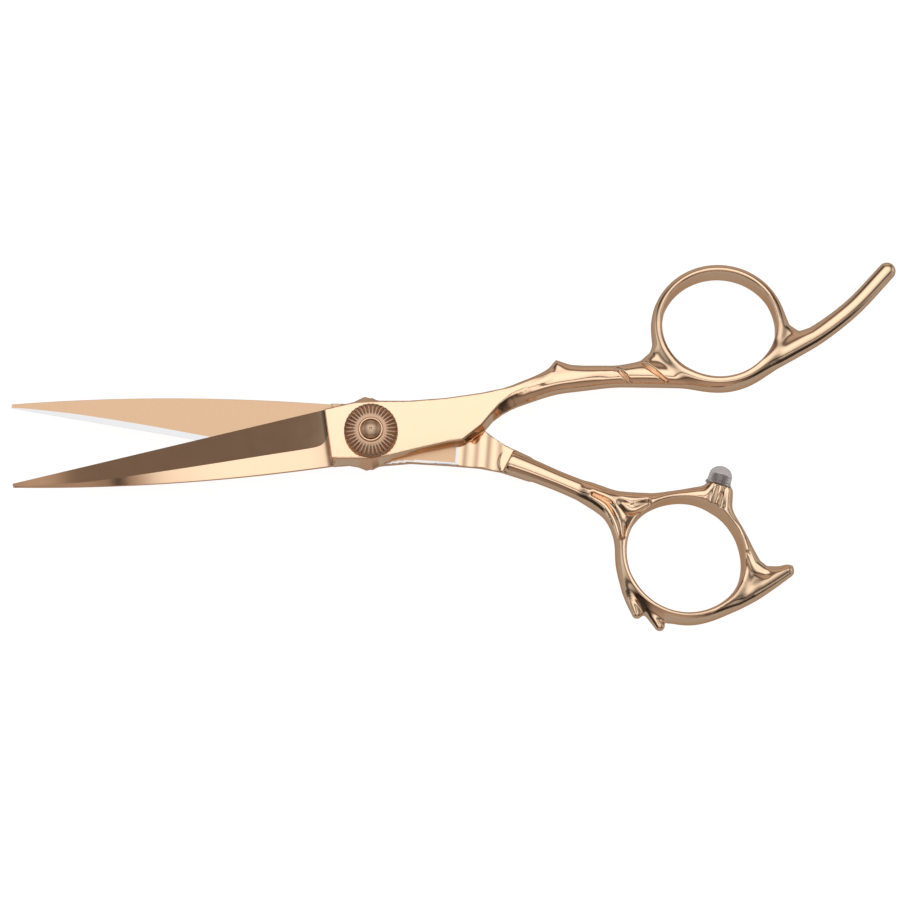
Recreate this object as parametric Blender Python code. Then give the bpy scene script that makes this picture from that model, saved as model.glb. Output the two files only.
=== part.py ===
"""Hair cutting shears: two forged arms, a fluted tension dial over a ball thrust bearing, and a bumper.

Metres, +Z up. The origin is on the pivot axis, on the flat back face of the pivot stud. Each arm is drawn
in its own frame, with its blade tip on the -X axis and its handle towards +X, and is then turned to the
angle at which the shears lie a little open. Lengths in the tables below are millimetres.
"""

import math

import bmesh
import bpy
import numpy as np
from mathutils import Matrix, Vector

MM = 0.001

# Driving dimensions, in millimetres and degrees.
FRONT_ANGLE = 8.0
REAR_ANGLE = -4.2
BLADE_LENGTH = 70.0
PLUNGE_X = -8.3
RIDE_Z = 3.7
RIDE_GAP = 0.1
ARM_BACK_Z = 0.5
ARM_FRONT_Z = 7.0
BLOCK_WALL = 1.5

EDGE_LAND = 0.15
EDGE_RISE = 6.0
SPINE_AT_TIP = 0.75
SPINE_DROP = 4.55
SPINE_CURVE = 2.1
LEAST_EDGE = -0.1
RIDGE_SHARE = 0.72
RIDGE_LIFT = 2.0

FRONT_RING_HOLE = 22.0
REAR_RING_HOLE = 23.0
FRONT_RING_WALL = 2.1
REAR_RING_WALL = 1.6
RING_DEPTH = 5.0
BORE_STOCK = 0.4
BORE_STOCK_SHARE = 0.85
RING_CORNER = 78.0
RING_CORNER_INSET = 0.25

STUD_RADIUS = 2.0
STUD_HEAD_RADIUS = 3.6
STUD_HEAD_HEIGHT = 1.0
STUD_HEAD_CHAMFER = 0.25
STUD_FLAT = 1.7
STUD_KEY_Z = 7.05
THREAD_RADIUS = 1.6
DOME_RADIUS = 1.8
DOME_Z = 9.4
DOME_RISE = 0.95
DOME_SKIRT = 0.35
DOME_NECK = 0.45
DIMPLE_RADIUS = 0.28
DIMPLE_RIM = 0.02
DIMPLE_DEPTH = 0.2
SHANK_TOP_Z = 8.0
SHANK_CHAMFER = 0.2
FIT = 0.05

BUSH_OUTER = 2.8
BUSH_LOW_Z = 3.9
BUSH_HIGH_Z = 5.65
GLIDE_OUTER = 3.5
GLIDE_HEIGHT = 0.3
BEARING_INNER = 2.15
BEARING_OUTER = 4.2
BEARING_POCKET_Z = 5.8
BALL_RADIUS = 0.4
BALL_COUNT = 8
BALL_CIRCLE = 3.2
BALL_Z = 6.6
BALL_PLAY = 0.08
CAGE_INNER = 2.5
CAGE_OUTER = 3.9
CAGE_HEIGHT = 0.3
RACE_HEIGHT = 0.3

CLICK_PLATE_RADIUS = 4.0
CLICK_PLATE_Z = 7.4
CLICK_PLATE_HEIGHT = 0.3
SPRING_INNER = 2.7
SPRING_OUTER = 3.7
SPRING_Z = 7.75
SPRING_HEIGHT = 0.15
LOBE_RADIUS = 0.3
LOBE_FOOT = 0.05
LOBE_TOP_Z = 8.15

DIAL_RADIUS = 5.2
DIAL_FLUTES = 36
DIAL_Z = 7.15
DIAL_TOP_Z = 9.2
DIAL_RECESS_RADIUS = 4.4
DIAL_RECESS_Z = 8.25
DIAL_RIM_CHAMFER = 0.45
DIAL_FLUTE_INNER = 3.0
COLLAR_RADIUS = 2.4
COLLAR_BORE = DOME_RADIUS + 0.12
COLLAR_SEAT = 0.3
COLLAR_RISE = 0.45
COLLAR_EDGE = 0.35
COLLAR_SHOULDER = 0.2
DIAL_BAND_RISE = 0.05

BUMPER_RADIUS = 2.55
BUMPER_HEIGHT = 4.05
BUMPER_SEAT = (67.45, -5.0, 3.1)
BUMPER_LEAN = 12.5
BUMPER_FOOT = 0.15
BUMPER_DOME = 2.25
BUMPER_DOME_RISE = 2.0
BUMPER_SKIRT_Z = 0.5
BUMPER_WAIST_Z = 1.4
PEG_RADIUS = 1.5
PEG_TOP = 2.0

ROUND_SIDES = 32
STUD_HALF_LENGTH = 4.0
CUT_MARGIN = 1.0
RING_CUT_REACH = 6.0

FRONT_Z = RIDE_Z + RIDE_GAP

# Outlines of the flat pivot blocks, as pairs: the outer wall's corner, then the flat face's corner.
FRONT_BLOCK = [
    ((-8.3, 5.9), (-8.3, 5.6)), ((-4.1, 6.3), (-4.3, 6.0)), ((-2.4, 6.5), (-2.3, 6.1)),
    ((-0.3, 7.25), (-0.2, 5.9)), ((2.3, 6.1), (2.3, 5.7)), ((8.0, 5.25), (8.0, 4.95)),
    ((15.0, 4.8), (15.0, 4.5)), ((22.0, 4.85), (22.0, 4.5)), ((28.0, 5.3), (27.6, 4.75)),
    ((31.0, 6.1), (29.9, 4.95)), ((31.0, 1.9), (29.6, 4.5)), ((28.6, 1.2), (27.3, 3.4)),
    ((25.6, 0.2), (25.2, 1.9)), ((23.6, -0.9), (23.3, 0.2)), ((21.8, -2.5), (21.3, -1.6)),
    ((17.8, -4.6), (17.2, -4.0)), ((15.2, -4.5), (14.6, -4.0)), ((9.0, -4.85), (8.1, -4.6)),
    ((3.5, -5.5), (3.2, -5.1)), ((-0.7, -7.05), (-0.6, -5.1)), ((-5.0, -5.6), (-4.8, -4.6)),
    ((-8.3, -5.4), (-8.3, -4.1)),
]
REAR_BLOCK = [
    ((-8.3, -5.8), (-8.3, -5.5)), ((-4.1, -6.15), (-4.3, -5.9)), ((-2.4, -6.3), (-2.3, -6.0)),
    ((-0.4, -6.95), (-0.3, -5.8)), ((2.3, -5.9), (2.3, -5.6)), ((8.0, -4.95), (8.0, -4.7)),
    ((15.0, -4.85), (15.0, -4.6)), ((21.4, -4.95), (21.4, -4.65)), ((27.2, -5.65), (26.8, -5.2)),
    ((31.0, -6.6), (29.7, -5.7)), ((31.0, -2.4), (29.5, -5.2)), ((28.6, -1.35), (27.3, -3.9)),
    ((25.8, -0.1), (25.2, -2.3)), ((23.8, 1.1), (23.3, -0.4)), ((21.6, 2.5), (21.3, 1.4)),
    ((17.8, 4.3), (17.2, 3.7)), ((15.2, 4.4), (14.6, 3.8)), ((9.0, 4.75), (8.1, 4.4)),
    ((3.5, 5.6), (3.2, 5.0)), ((-0.4, 7.2), (-0.5, 5.0)), ((-5.0, 5.65), (-4.8, 4.5)),
    ((-8.3, 5.5), (-8.3, 4.1)),
]

# Blade stations: distance from the pivot, ridge height and spine height above the inner face.
BLADE_STATIONS = [
    (7.9, 2.55, 1.6), (20.0, 2.4, 1.5), (32.0, 2.15, 1.35), (44.0, 1.85, 1.2),
    (55.0, 1.5, 1.0), (62.0, 1.2, 0.85), (67.0, 0.9, 0.7), (69.2, 0.65, 0.5), (69.8, 0.45, 0.4),
]

# Sweeps: (x, y, z, half width in the plane of the shears, half height).
FRONT_SHANK = [
    (27.3, 3.2, 4.3, 2.2, 2.2), (32.0, 4.2, 4.25, 2.15, 2.35), (37.0, 5.3, 4.2, 2.4, 2.5),
    (42.0, 5.1, 4.2, 2.3, 2.5), (48.0, 4.7, 4.3, 2.1, 2.5), (54.0, 4.1, 4.6, 2.3, 2.5),
    (60.0, 2.8, 5.1, 2.0, 2.4), (66.0, 1.35, 5.6, 1.8, 2.3), (71.0, 1.25, 5.7, 1.75, 2.2),
    (77.0, 2.95, 5.3, 1.9, 2.2), (83.0, 5.2, 4.8, 1.95, 2.1), (89.2, 7.85, 4.4, 1.85, 1.9),
    (96.3, 12.0, 4.1, 1.75, 1.8), (103.6, 17.9, 4.0, 1.7, 1.7),
]
FRONT_BARS = {
    "thorn": [(33.5, 5.2, 4.2, 1.6, 2.0), (36.0, 7.2, 4.3, 0.9, 1.7), (37.3, 8.9, 4.3, 0.35, 0.8)],
    "thorn_back": [(37.2, 8.5, 4.3, 0.5, 0.9), (38.8, 7.3, 4.3, 0.9, 1.7), (42.0, 6.2, 4.2, 1.2, 2.0)],
    "stem": [(52.0, 4.9, 4.4, 1.8, 2.2), (57.0, 7.3, 4.2, 1.6, 2.1), (57.9, 12.5, 3.4, 1.1, 2.2)],
    "gusset": [(54.0, 5.5, 4.4, 1.4, 2.0), (57.4, 6.0, 4.4, 1.6, 2.0), (60.0, 4.4, 4.6, 1.5, 2.0)],
    "web": [(76.5, 3.0, 5.1, 1.8, 2.0), (80.8, 6.9, 4.3, 2.5, 2.0), (81.6, 12.5, 3.2, 1.3, 2.1)],
    "crotch": [(81.4, 10.8, 3.6, 1.4, 2.0), (83.6, 8.0, 4.2, 1.5, 2.0), (87.4, 8.0, 4.4, 1.6, 1.9)],
}
REAR_SHANK = [
    (27.2, -3.35, 3.1, 2.2, 2.2), (32.0, -4.85, 3.2, 2.0, 2.3), (37.0, -6.55, 3.4, 1.9, 2.3),
    (42.0, -8.3, 3.6, 2.0, 2.3), (46.0, -10.1, 3.8, 1.9, 2.3),
]
REAR_BARS = {
    "top": [
        (43.0, -8.5, 3.6, 1.9, 2.2), (48.5, -9.3, 3.6, 1.6, 2.2), (54.0, -8.9, 3.2, 1.25, 2.1),
        (59.0, -8.2, 2.7, 1.25, 2.1), (63.5, -7.1, 2.5, 1.6, 2.2), (67.2, -6.8, 2.7, 1.9, 2.2),
    ],
    "boss": [(66.6, -9.6, 2.2, 2.2, 2.3), (67.5, -5.4, 3.05, 2.2, 2.1)],
    "left": [
        (44.5, -9.6, 3.7, 1.8, 2.2), (47.8, -13.2, 4.1, 1.45, 2.2), (49.7, -18.0, 4.6, 1.15, 2.2),
        (50.6, -23.0, 5.2, 1.25, 2.1), (52.4, -28.6, 5.8, 1.3, 1.9), (54.0, -31.9, 6.2, 0.85, 1.2),
    ],
    "gusset": [(46.4, -10.8, 3.8, 1.5, 2.0), (50.0, -12.7, 3.8, 1.9, 2.0), (53.5, -10.6, 3.4, 1.4, 2.0)],
    "spur": [(53.4, -27.6, 5.8, 1.2, 1.8), (55.8, -31.0, 6.2, 1.1, 1.6), (57.9, -33.8, 6.4, 0.95, 1.1)],
    "strut": [
        (68.6, -6.6, 2.7, 1.8, 2.1), (69.4, -10.2, 2.2, 1.35, 2.2), (71.0, -14.6, 2.1, 1.2, 2.2),
        (73.8, -19.0, 2.3, 1.5, 2.1), (74.6, -24.4, 3.2, 1.6, 2.0),
    ],
    "fin": [(74.0, -17.8, 2.2, 1.1, 1.9), (76.6, -21.1, 2.5, 1.8, 1.8), (80.0, -21.3, 2.5, 1.3, 1.6)],
    "tail": [
        (59.0, -31.0, 5.7, 1.3, 2.0), (64.5, -31.1, 5.4, 1.3, 2.2), (71.0, -28.4, 4.5, 1.5, 2.2),
        (76.0, -24.9, 3.4, 1.7, 2.0), (81.9, -20.6, 2.4, 1.2, 1.4),
    ],
}

FRONT_RING_CENTRE = (69.6, 11.35, 3.4)
FRONT_RING_LEAN = (12.5, 82.0)
REAR_RING_CENTRE = (61.8, -19.7, 4.2)
REAR_RING_LEAN = (13.5, 52.0)


def clear_scene():
    for obj in list(bpy.data.objects):
        bpy.data.objects.remove(obj, do_unlink=True)


def material(name, colour, roughness, metallic, alpha=1.0):
    made = bpy.data.materials.new(name)
    made.use_nodes = True
    shader = made.node_tree.nodes["Principled BSDF"]
    shader.inputs["Base Color"].default_value = (*colour, 1.0)
    shader.inputs["Roughness"].default_value = roughness
    shader.inputs["Metallic"].default_value = metallic
    shader.inputs["Alpha"].default_value = alpha
    return made


def add_object(name, bm, finish=None, parent=None):
    """Make an object from a bmesh built in millimetres."""
    bmesh.ops.scale(bm, vec=(MM, MM, MM), verts=bm.verts)
    bmesh.ops.recalc_face_normals(bm, faces=bm.faces)
    mesh = bpy.data.meshes.new(name)
    bm.to_mesh(mesh)
    bm.free()
    mesh.shade_smooth()
    mesh.set_sharp_from_angle(angle=math.radians(35))
    obj = bpy.data.objects.new(name, mesh)
    bpy.context.scene.collection.objects.link(obj)
    obj.parent = parent
    if finish is not None:
        mesh.materials.append(finish)
    return obj


def pivot_empty(name, angle):
    empty = bpy.data.objects.new(name, None)
    bpy.context.scene.collection.objects.link(empty)
    empty.rotation_euler.z = math.radians(angle)
    return empty


def combine(obj, operation, label, *helpers):
    """Join hidden helpers to an object, or cut the object with them, in one step."""
    group = bpy.data.collections.new(f"{obj.name}_{label}")
    bpy.context.scene.collection.children.link(group)
    for helper in helpers:
        helper.parent = obj
        helper.hide_render = True
        helper.display_type = "WIRE"
        group.objects.link(helper)
        bpy.context.scene.collection.objects.unlink(helper)
    step = obj.modifiers.new(label, "BOOLEAN")
    step.operation = operation
    step.solver = "EXACT"
    step.operand_type = "COLLECTION"
    step.collection = group


def loft(rings, closed=False):
    """Skin rings of equal point count, with flat caps unless the row of rings closes on itself."""
    bm = bmesh.new()
    rows = [[bm.verts.new(point) for point in ring] for ring in rings]
    following = rows[1:] + rows[:1] if closed else rows[1:]
    for row, after in zip(rows, following):
        for i in range(len(row)):
            j = (i + 1) % len(row)
            bm.faces.new((row[i], row[j], after[j], after[i]))
    if not closed:
        bm.faces.new(rows[0][::-1])
        bm.faces.new(rows[-1])
    return bm


def smooth(points, steps):
    """Points on a Catmull-Rom curve through the given ones, which may carry extra values."""
    given = np.array(points, float)
    padded = np.vstack([2 * given[0] - given[1], given, 2 * given[-1] - given[-2]])
    curve = []
    for i in range(len(given) - 1):
        a, b, c, d = padded[i : i + 4]
        for t in np.arange(steps) / steps:
            square = 2 * a - 5 * b + 4 * c - d
            cube = 3 * b - a - 3 * c + d
            curve.append(0.5 * (2 * b + (c - a) * t + square * t**2 + cube * t**3))
    curve.append(given[-1])
    return np.array(curve)


def sweep(stations, sides=12, steps=2):
    """An oval bar along a smooth line, with rounded ends."""
    line = smooth(stations, steps)
    tangents = np.gradient(line[:, :3], axis=0)
    tangents /= np.linalg.norm(tangents, axis=1)[:, None]
    rings = []

    def add_ring(place, along, size):
        side = Vector((along[1], -along[0], 0.0)).normalized()
        up = side.cross(Vector(along)).normalized()
        centre = Vector(place[:3])
        ring = []
        for k in range(sides):
            turn = 2 * math.pi * k / sides
            across = side * place[3] * math.cos(turn)
            ring.append(centre + (across + up * place[4] * math.sin(turn)) * size)
        rings.append(ring)

    def dome(place, along, sign):
        for angle in (72, 40) if sign < 0 else (40, 72):
            shift = np.array(place)
            shift[:3] += sign * np.array(along) * place[3] * math.sin(math.radians(angle))
            add_ring(shift, along, math.cos(math.radians(angle)))

    dome(line[0], tangents[0], -1)
    for place, along in zip(line, tangents):
        add_ring(place, along, 1.0)
    dome(line[-1], tangents[-1], 1)
    return loft(rings)


def block(pairs, wall_low, wall_high, face_z):
    """A pivot block: an upright wall, then facets that slope in to the flat face."""
    outer = [pair[0] for pair in pairs]
    inner = [pair[1] for pair in pairs]
    rings = [[(x, y, wall_low) for x, y in outer], [(x, y, wall_high) for x, y in outer]]
    rings.append([(x, y, face_z) for x, y in inner])
    return loft(rings)


def blade_edge(distance):
    """Height of the cutting edge above the tip's line."""
    return EDGE_RISE * (BLADE_LENGTH - distance) / (BLADE_LENGTH + PLUNGE_X)


def blade_spine(distance):
    """Height of the spine, which curves down from the tip and straightens towards the pivot."""
    share = (BLADE_LENGTH - distance) / (BLADE_LENGTH + PLUNGE_X)
    return -SPINE_AT_TIP - SPINE_DROP * (1 - (1 - min(share, 1.0)) ** SPINE_CURVE)


def blade(side, face_z, outward):
    """A tapered blade with a flat inner face, a broad outer bevel and a narrower bevel to the spine."""
    rings = []
    for distance, ridge, spine in BLADE_STATIONS:
        edge_y = side * max(blade_edge(distance), LEAST_EDGE)
        spine_y = side * blade_spine(distance)
        lift = RIDGE_LIFT * (1 - distance / BLADE_LENGTH)
        ridge_y = side * (RIDGE_SHARE * blade_spine(distance) + lift)
        profile = [
            (edge_y, 0.0), (edge_y, EDGE_LAND), (ridge_y, ridge), (spine_y, spine), (spine_y, 0.0),
        ]
        rings.append([(-distance, y, face_z + outward * height) for y, height in profile])
    return loft(rings)


def ring_tilt(lean):
    """Turn for a ring that leans (degrees, towards degrees) out of the shears' plane."""
    towards = math.radians(lean[1])
    axis = Vector((-math.sin(towards), math.cos(towards), 0.0))
    return Matrix.Rotation(math.radians(lean[0]), 3, axis)


def finger_ring(centre, lean, hole, wall, depth, around=48):
    """A finger ring with a flat inner wall and a rounded outside, with a little stock left in its hole."""
    half = depth / 2
    corner = math.radians(RING_CORNER)
    stock = half * BORE_STOCK_SHARE
    profile = [(-BORE_STOCK, -stock), (-BORE_STOCK, stock)]
    for k in range(7):
        turn = corner * (1 - k / 3)
        reach = RING_CORNER_INSET + (wall - RING_CORNER_INSET) * math.cos(turn)
        profile.append((reach, half * math.sin(turn) / math.sin(corner)))
    tilt = ring_tilt(lean)
    rings = []
    for i in range(around):
        turn = 2 * math.pi * i / around
        out = Vector((math.cos(turn), math.sin(turn), 0.0))
        ring = []
        for reach, rise in profile:
            point = out * (hole / 2 + reach) + Vector((0.0, 0.0, rise))
            ring.append(Vector(centre) + tilt @ point)
        rings.append(ring)
    return loft(rings, closed=True)


def turned(profile, around=ROUND_SIDES):
    """A solid of revolution about Z, from a closed profile of (radius, z) points."""
    bm = bmesh.new()
    edges = []
    points = [bm.verts.new((radius, 0.0, z)) for radius, z in profile]
    for i in range(len(points) - 1):
        edges.append(bm.edges.new((points[i], points[i + 1])))
    if profile[0][0] > 0:
        edges.append(bm.edges.new((points[-1], points[0])))
    bmesh.ops.spin(
        bm, geom=points + edges, axis=(0, 0, 1), cent=(0, 0, 0),
        angle=2 * math.pi, steps=around, use_merge=True,
    )
    bmesh.ops.remove_doubles(bm, verts=bm.verts, dist=1e-5)
    return bm


def washer(inner, outer, low, high, around=ROUND_SIDES):
    return turned([(inner, high), (outer, high), (outer, low), (inner, low)], around)


def box(low, high):
    bm = bmesh.new()
    bmesh.ops.create_cube(bm, size=1.0)
    for vert in bm.verts:
        for axis in range(3):
            vert.co[axis] = high[axis] if vert.co[axis] > 0 else low[axis]
    return bm


def cylinder(radius, low, high, around=ROUND_SIDES):
    return turned([(0.0, high), (radius, high), (radius, low), (0.0, low)], around)


def stud_flats(name, low, high):
    """Two blocks that leave flats on the stud, so that a piece can be keyed to it."""
    blocks = []
    for sign, side in ((1, "upper"), (-1, "lower")):
        near, far = sorted((sign * STUD_FLAT, sign * (STUD_RADIUS + CUT_MARGIN)))
        shape = box((-STUD_HALF_LENGTH, near, low), (STUD_HALF_LENGTH, far, high))
        blocks.append(add_object(f"{name}_{side}", shape))
    return blocks


def keyhole(name, low, high):
    """A round cutter with the stud's two flats."""
    cutter = add_object(name, cylinder(STUD_RADIUS + FIT, low, high))
    sides = []
    for sign, side in ((1, "upper"), (-1, "lower")):
        near, far = sorted((sign * (STUD_FLAT + FIT), sign * (STUD_RADIUS + CUT_MARGIN)))
        low_corner = (-STUD_HALF_LENGTH, near, low - CUT_MARGIN)
        shape = box(low_corner, (STUD_HALF_LENGTH, far, high + CUT_MARGIN))
        sides.append(add_object(f"{name}_{side}", shape))
    combine(cutter, "DIFFERENCE", "flats", *sides)
    return cutter


def ring_cutter(name, centre, lean, hole):
    """Clears the finger hole of the bars that run into its ring."""
    cutter = add_object(name, cylinder(hole / 2, -RING_CUT_REACH, RING_CUT_REACH, 64))
    cutter.location = Vector(centre) * MM
    cutter.rotation_euler = ring_tilt(lean).to_euler()
    return cutter


def bars(prefix, table):
    made = []
    for name, stations in table.items():
        made.append(add_object(f"{prefix}_{name}_form", sweep(stations, 10)))
    return made


def front_arm(finish, parent):
    """The arm that carries the dial: blade, pivot block, shank, finger ring and little-finger tang."""
    pivot_block = block(FRONT_BLOCK, FRONT_Z, FRONT_Z + BLOCK_WALL, ARM_FRONT_Z)
    arm = add_object("front_arm", pivot_block, finish, parent)
    bore = add_object("front_pivot_bore", cylinder(BUSH_OUTER + FIT, 0.0, DIAL_TOP_Z))
    pocket_hole = cylinder(BEARING_OUTER + 2 * FIT, BEARING_POCKET_Z, DIAL_TOP_Z)
    pocket = add_object("front_bearing_pocket", pocket_hole)
    combine(arm, "DIFFERENCE", "pivot holes", bore, pocket)
    blade_form = add_object("front_blade_form", blade(1, FRONT_Z, 1))
    shank = add_object("front_shank_form", sweep(FRONT_SHANK))
    band = finger_ring(
        FRONT_RING_CENTRE, FRONT_RING_LEAN, FRONT_RING_HOLE, FRONT_RING_WALL, RING_DEPTH,
    )
    ring = add_object("front_ring_form", band)
    combine(arm, "UNION", "limbs", blade_form, shank, ring, *bars("front", FRONT_BARS))
    finger_hole = ring_cutter(
        "front_ring_bore", FRONT_RING_CENTRE, FRONT_RING_LEAN, FRONT_RING_HOLE,
    )
    combine(arm, "DIFFERENCE", "finger hole", finger_hole)
    return arm


def rear_arm(finish, parent):
    """The arm that the stud is fixed to: blade, pivot block, neck, shank and finger ring with its spurs."""
    pivot_block = block(REAR_BLOCK, RIDE_Z, RIDE_Z - BLOCK_WALL, ARM_BACK_Z)
    arm = add_object("rear_arm", pivot_block, finish, parent)
    stud_hole = keyhole("rear_stud_hole", -CUT_MARGIN, RIDE_Z + CUT_MARGIN)
    head_hole = cylinder(STUD_HEAD_RADIUS + 2 * FIT, -CUT_MARGIN, STUD_HEAD_HEIGHT + FIT)
    head_pocket = add_object("rear_head_pocket", head_hole)
    glide_hole = cylinder(GLIDE_OUTER + 2 * FIT, RIDE_Z - GLIDE_HEIGHT, RIDE_Z + CUT_MARGIN)
    glide_pocket = add_object("rear_glide_pocket", glide_hole)
    combine(arm, "DIFFERENCE", "pivot holes", stud_hole, head_pocket, glide_pocket)
    blade_form = add_object("rear_blade_form", blade(-1, RIDE_Z, -1))
    shank = add_object("rear_shank_form", sweep(REAR_SHANK))
    band = finger_ring(
        REAR_RING_CENTRE, REAR_RING_LEAN, REAR_RING_HOLE, REAR_RING_WALL, RING_DEPTH,
    )
    ring = add_object("rear_ring_form", band)
    combine(arm, "UNION", "limbs", blade_form, shank, ring, *bars("rear", REAR_BARS))
    finger_hole = ring_cutter("rear_ring_bore", REAR_RING_CENTRE, REAR_RING_LEAN, REAR_RING_HOLE)
    seat_hole = cylinder(BUMPER_RADIUS + 2 * FIT, 0.0, BUMPER_HEIGHT + CUT_MARGIN, 36)
    seat = add_object("bumper_seat_cutter", seat_hole)
    stand_at_bumper(seat)
    combine(arm, "DIFFERENCE", "finger hole and bumper seat", finger_hole, seat)
    return arm


def pivot_stud(finish, parent):
    """Flat head at the back, keyed shank, thread and a domed front end with a small centre dimple."""
    dome = []
    for k in range(7):
        turn = math.radians(15 * k)
        dome.append((DOME_RADIUS * math.cos(turn), DOME_Z + DOME_RISE * math.sin(turn)))
    top = DOME_Z + DOME_RISE
    dome[-1:] = [(DIMPLE_RADIUS, top - DIMPLE_RIM), (0.0, top - DIMPLE_DEPTH)]
    profile = dome[::-1] + [
        (DOME_RADIUS, DOME_Z - DOME_SKIRT), (THREAD_RADIUS, DOME_Z - DOME_NECK),
        (THREAD_RADIUS, SHANK_TOP_Z + SHANK_CHAMFER), (STUD_RADIUS, SHANK_TOP_Z),
        (STUD_RADIUS, STUD_HEAD_HEIGHT), (STUD_HEAD_RADIUS, STUD_HEAD_HEIGHT),
        (STUD_HEAD_RADIUS, STUD_HEAD_CHAMFER), (STUD_HEAD_RADIUS - STUD_HEAD_CHAMFER, 0.0), (0.0, 0.0),
    ]
    stud = add_object("pivot_stud", turned(profile), finish, parent)
    foot = stud_flats("stud_foot", STUD_HEAD_HEIGHT, RIDE_Z - GLIDE_HEIGHT)
    key = stud_flats("stud_key", STUD_KEY_Z, SHANK_TOP_Z + SHANK_CHAMFER + 2 * FIT)
    combine(stud, "DIFFERENCE", "flats", *foot, *key)
    return stud


def pivot_bush(finish, parent):
    """The bearing sleeve in the front arm's bore."""
    sleeve = washer(STUD_RADIUS + 0.1, BUSH_OUTER - FIT, BUSH_LOW_Z, BUSH_HIGH_Z)
    return add_object("pivot_bush", sleeve, finish, parent)


def glide_washer(finish, parent):
    """The thin washer, sunk in the rear arm, that keeps the two arms' inner faces from galling."""
    low = RIDE_Z - GLIDE_HEIGHT + FIT
    disc = washer(BEARING_INNER, GLIDE_OUTER, low, RIDE_Z + FIT)
    return add_object("glide_washer", disc, finish, parent)


def race(name, low, finish, parent):
    disc = washer(BEARING_INNER, BEARING_OUTER, low, low + RACE_HEIGHT)
    return add_object(name, disc, finish, parent)


def around_pivot(index, count, radius):
    turn = 2 * math.pi * index / count
    return Vector((radius * math.cos(turn), radius * math.sin(turn), 0.0)) * MM


def bearing_cage(finish, parent):
    """The flat ring that spaces the balls, with a round hole for each."""
    flat_ring = washer(CAGE_INNER, CAGE_OUTER, BALL_Z - CAGE_HEIGHT / 2, BALL_Z + CAGE_HEIGHT / 2)
    cage = add_object("bearing_cage", flat_ring, finish, parent)
    holes = []
    for i in range(BALL_COUNT):
        shape = cylinder(BALL_RADIUS + BALL_PLAY, BALL_Z - CUT_MARGIN, BALL_Z + CUT_MARGIN, 12)
        hole = add_object(f"cage_hole_{i + 1:02d}", shape)
        hole.location = around_pivot(i, BALL_COUNT, BALL_CIRCLE)
        holes.append(hole)
    combine(cage, "DIFFERENCE", "ball holes", *holes)
    return cage


def bearing_balls(finish, parent):
    """Steel balls, which share one mesh."""
    bm = bmesh.new()
    bmesh.ops.create_uvsphere(bm, u_segments=12, v_segments=6, radius=BALL_RADIUS)
    balls = [add_object("bearing_ball_01", bm, finish, parent)]
    for i in range(1, BALL_COUNT):
        ball = bpy.data.objects.new(f"bearing_ball_{i + 1:02d}", balls[0].data)
        bpy.context.scene.collection.objects.link(ball)
        ball.parent = parent
        balls.append(ball)
    for i, ball in enumerate(balls):
        ball.location = around_pivot(i, BALL_COUNT, BALL_CIRCLE) + Vector((0.0, 0.0, BALL_Z * MM))


def click_plate(finish, parent):
    """The washer keyed to the stud's flats, which holds the click spring still while the dial turns."""
    top = CLICK_PLATE_Z + CLICK_PLATE_HEIGHT
    plate = add_object("click_plate", cylinder(CLICK_PLATE_RADIUS, CLICK_PLATE_Z, top), finish, parent)
    key = keyhole("click_plate_key", CLICK_PLATE_Z - CUT_MARGIN, top + CUT_MARGIN)
    combine(plate, "DIFFERENCE", "key", key)
    return plate


def click_spring(finish, parent):
    """The leaf ring under the dial, with the two raised lobes that make it click."""
    leaf = washer(SPRING_INNER, SPRING_OUTER, SPRING_Z, SPRING_Z + SPRING_HEIGHT)
    spring = add_object("click_spring", leaf, finish, parent)
    lobes = []
    for i in range(2):
        shape = cylinder(LOBE_RADIUS, SPRING_Z + LOBE_FOOT, LOBE_TOP_Z, 16)
        lobe = add_object(f"spring_lobe_{i + 1}", shape)
        lobe.location = around_pivot(i, 2, BALL_CIRCLE)
        lobes.append(lobe)
    combine(spring, "UNION", "lobes", *lobes)
    return spring


def tension_dial(finish, parent):
    """The thumb dial: flutes that widen towards the rim, a plain inner ring, and a pocket underneath."""
    segments = DIAL_FLUTES * 2
    levels = [
        (THREAD_RADIUS + FIT, DIAL_RECESS_Z, 0.0), (DIAL_RECESS_RADIUS, DIAL_RECESS_Z, 0.0),
        (DIAL_RECESS_RADIUS, DIAL_Z, 0.0), (DIAL_RADIUS - 0.1, DIAL_Z, 0.0),
        (DIAL_RADIUS, DIAL_Z + 0.15, 0.0),
        (DIAL_RADIUS, DIAL_TOP_Z - DIAL_RIM_CHAMFER, 0.12),
        (DIAL_RADIUS - 0.15, DIAL_TOP_Z - 0.15, 0.2), (DIAL_RADIUS - 1.0, DIAL_TOP_Z, 0.16),
        (DIAL_FLUTE_INNER, DIAL_TOP_Z, 0.02), (DIAL_FLUTE_INNER - 0.1, DIAL_TOP_Z + DIAL_BAND_RISE, 0.0),
        (COLLAR_RADIUS + FIT, DIAL_TOP_Z + DIAL_BAND_RISE, 0.0),
        (COLLAR_RADIUS + FIT, DIAL_TOP_Z - COLLAR_SEAT, 0.0),
        (THREAD_RADIUS + FIT, DIAL_TOP_Z - COLLAR_SEAT, 0.0),
    ]
    rings = []
    for i in range(segments):
        turn = 2 * math.pi * i / segments
        ring = []
        for radius, height, depth in levels:
            cut = -depth if i % 2 else 0.0
            on_rim = height < DIAL_TOP_Z - COLLAR_SEAT
            reach = radius + (cut if on_rim else 0.0)
            rise = height + (0.0 if on_rim else cut)
            ring.append((reach * math.cos(turn), reach * math.sin(turn), rise))
        rings.append(ring)
    return add_object("tension_dial", loft(rings, closed=True), finish, parent)


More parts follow.
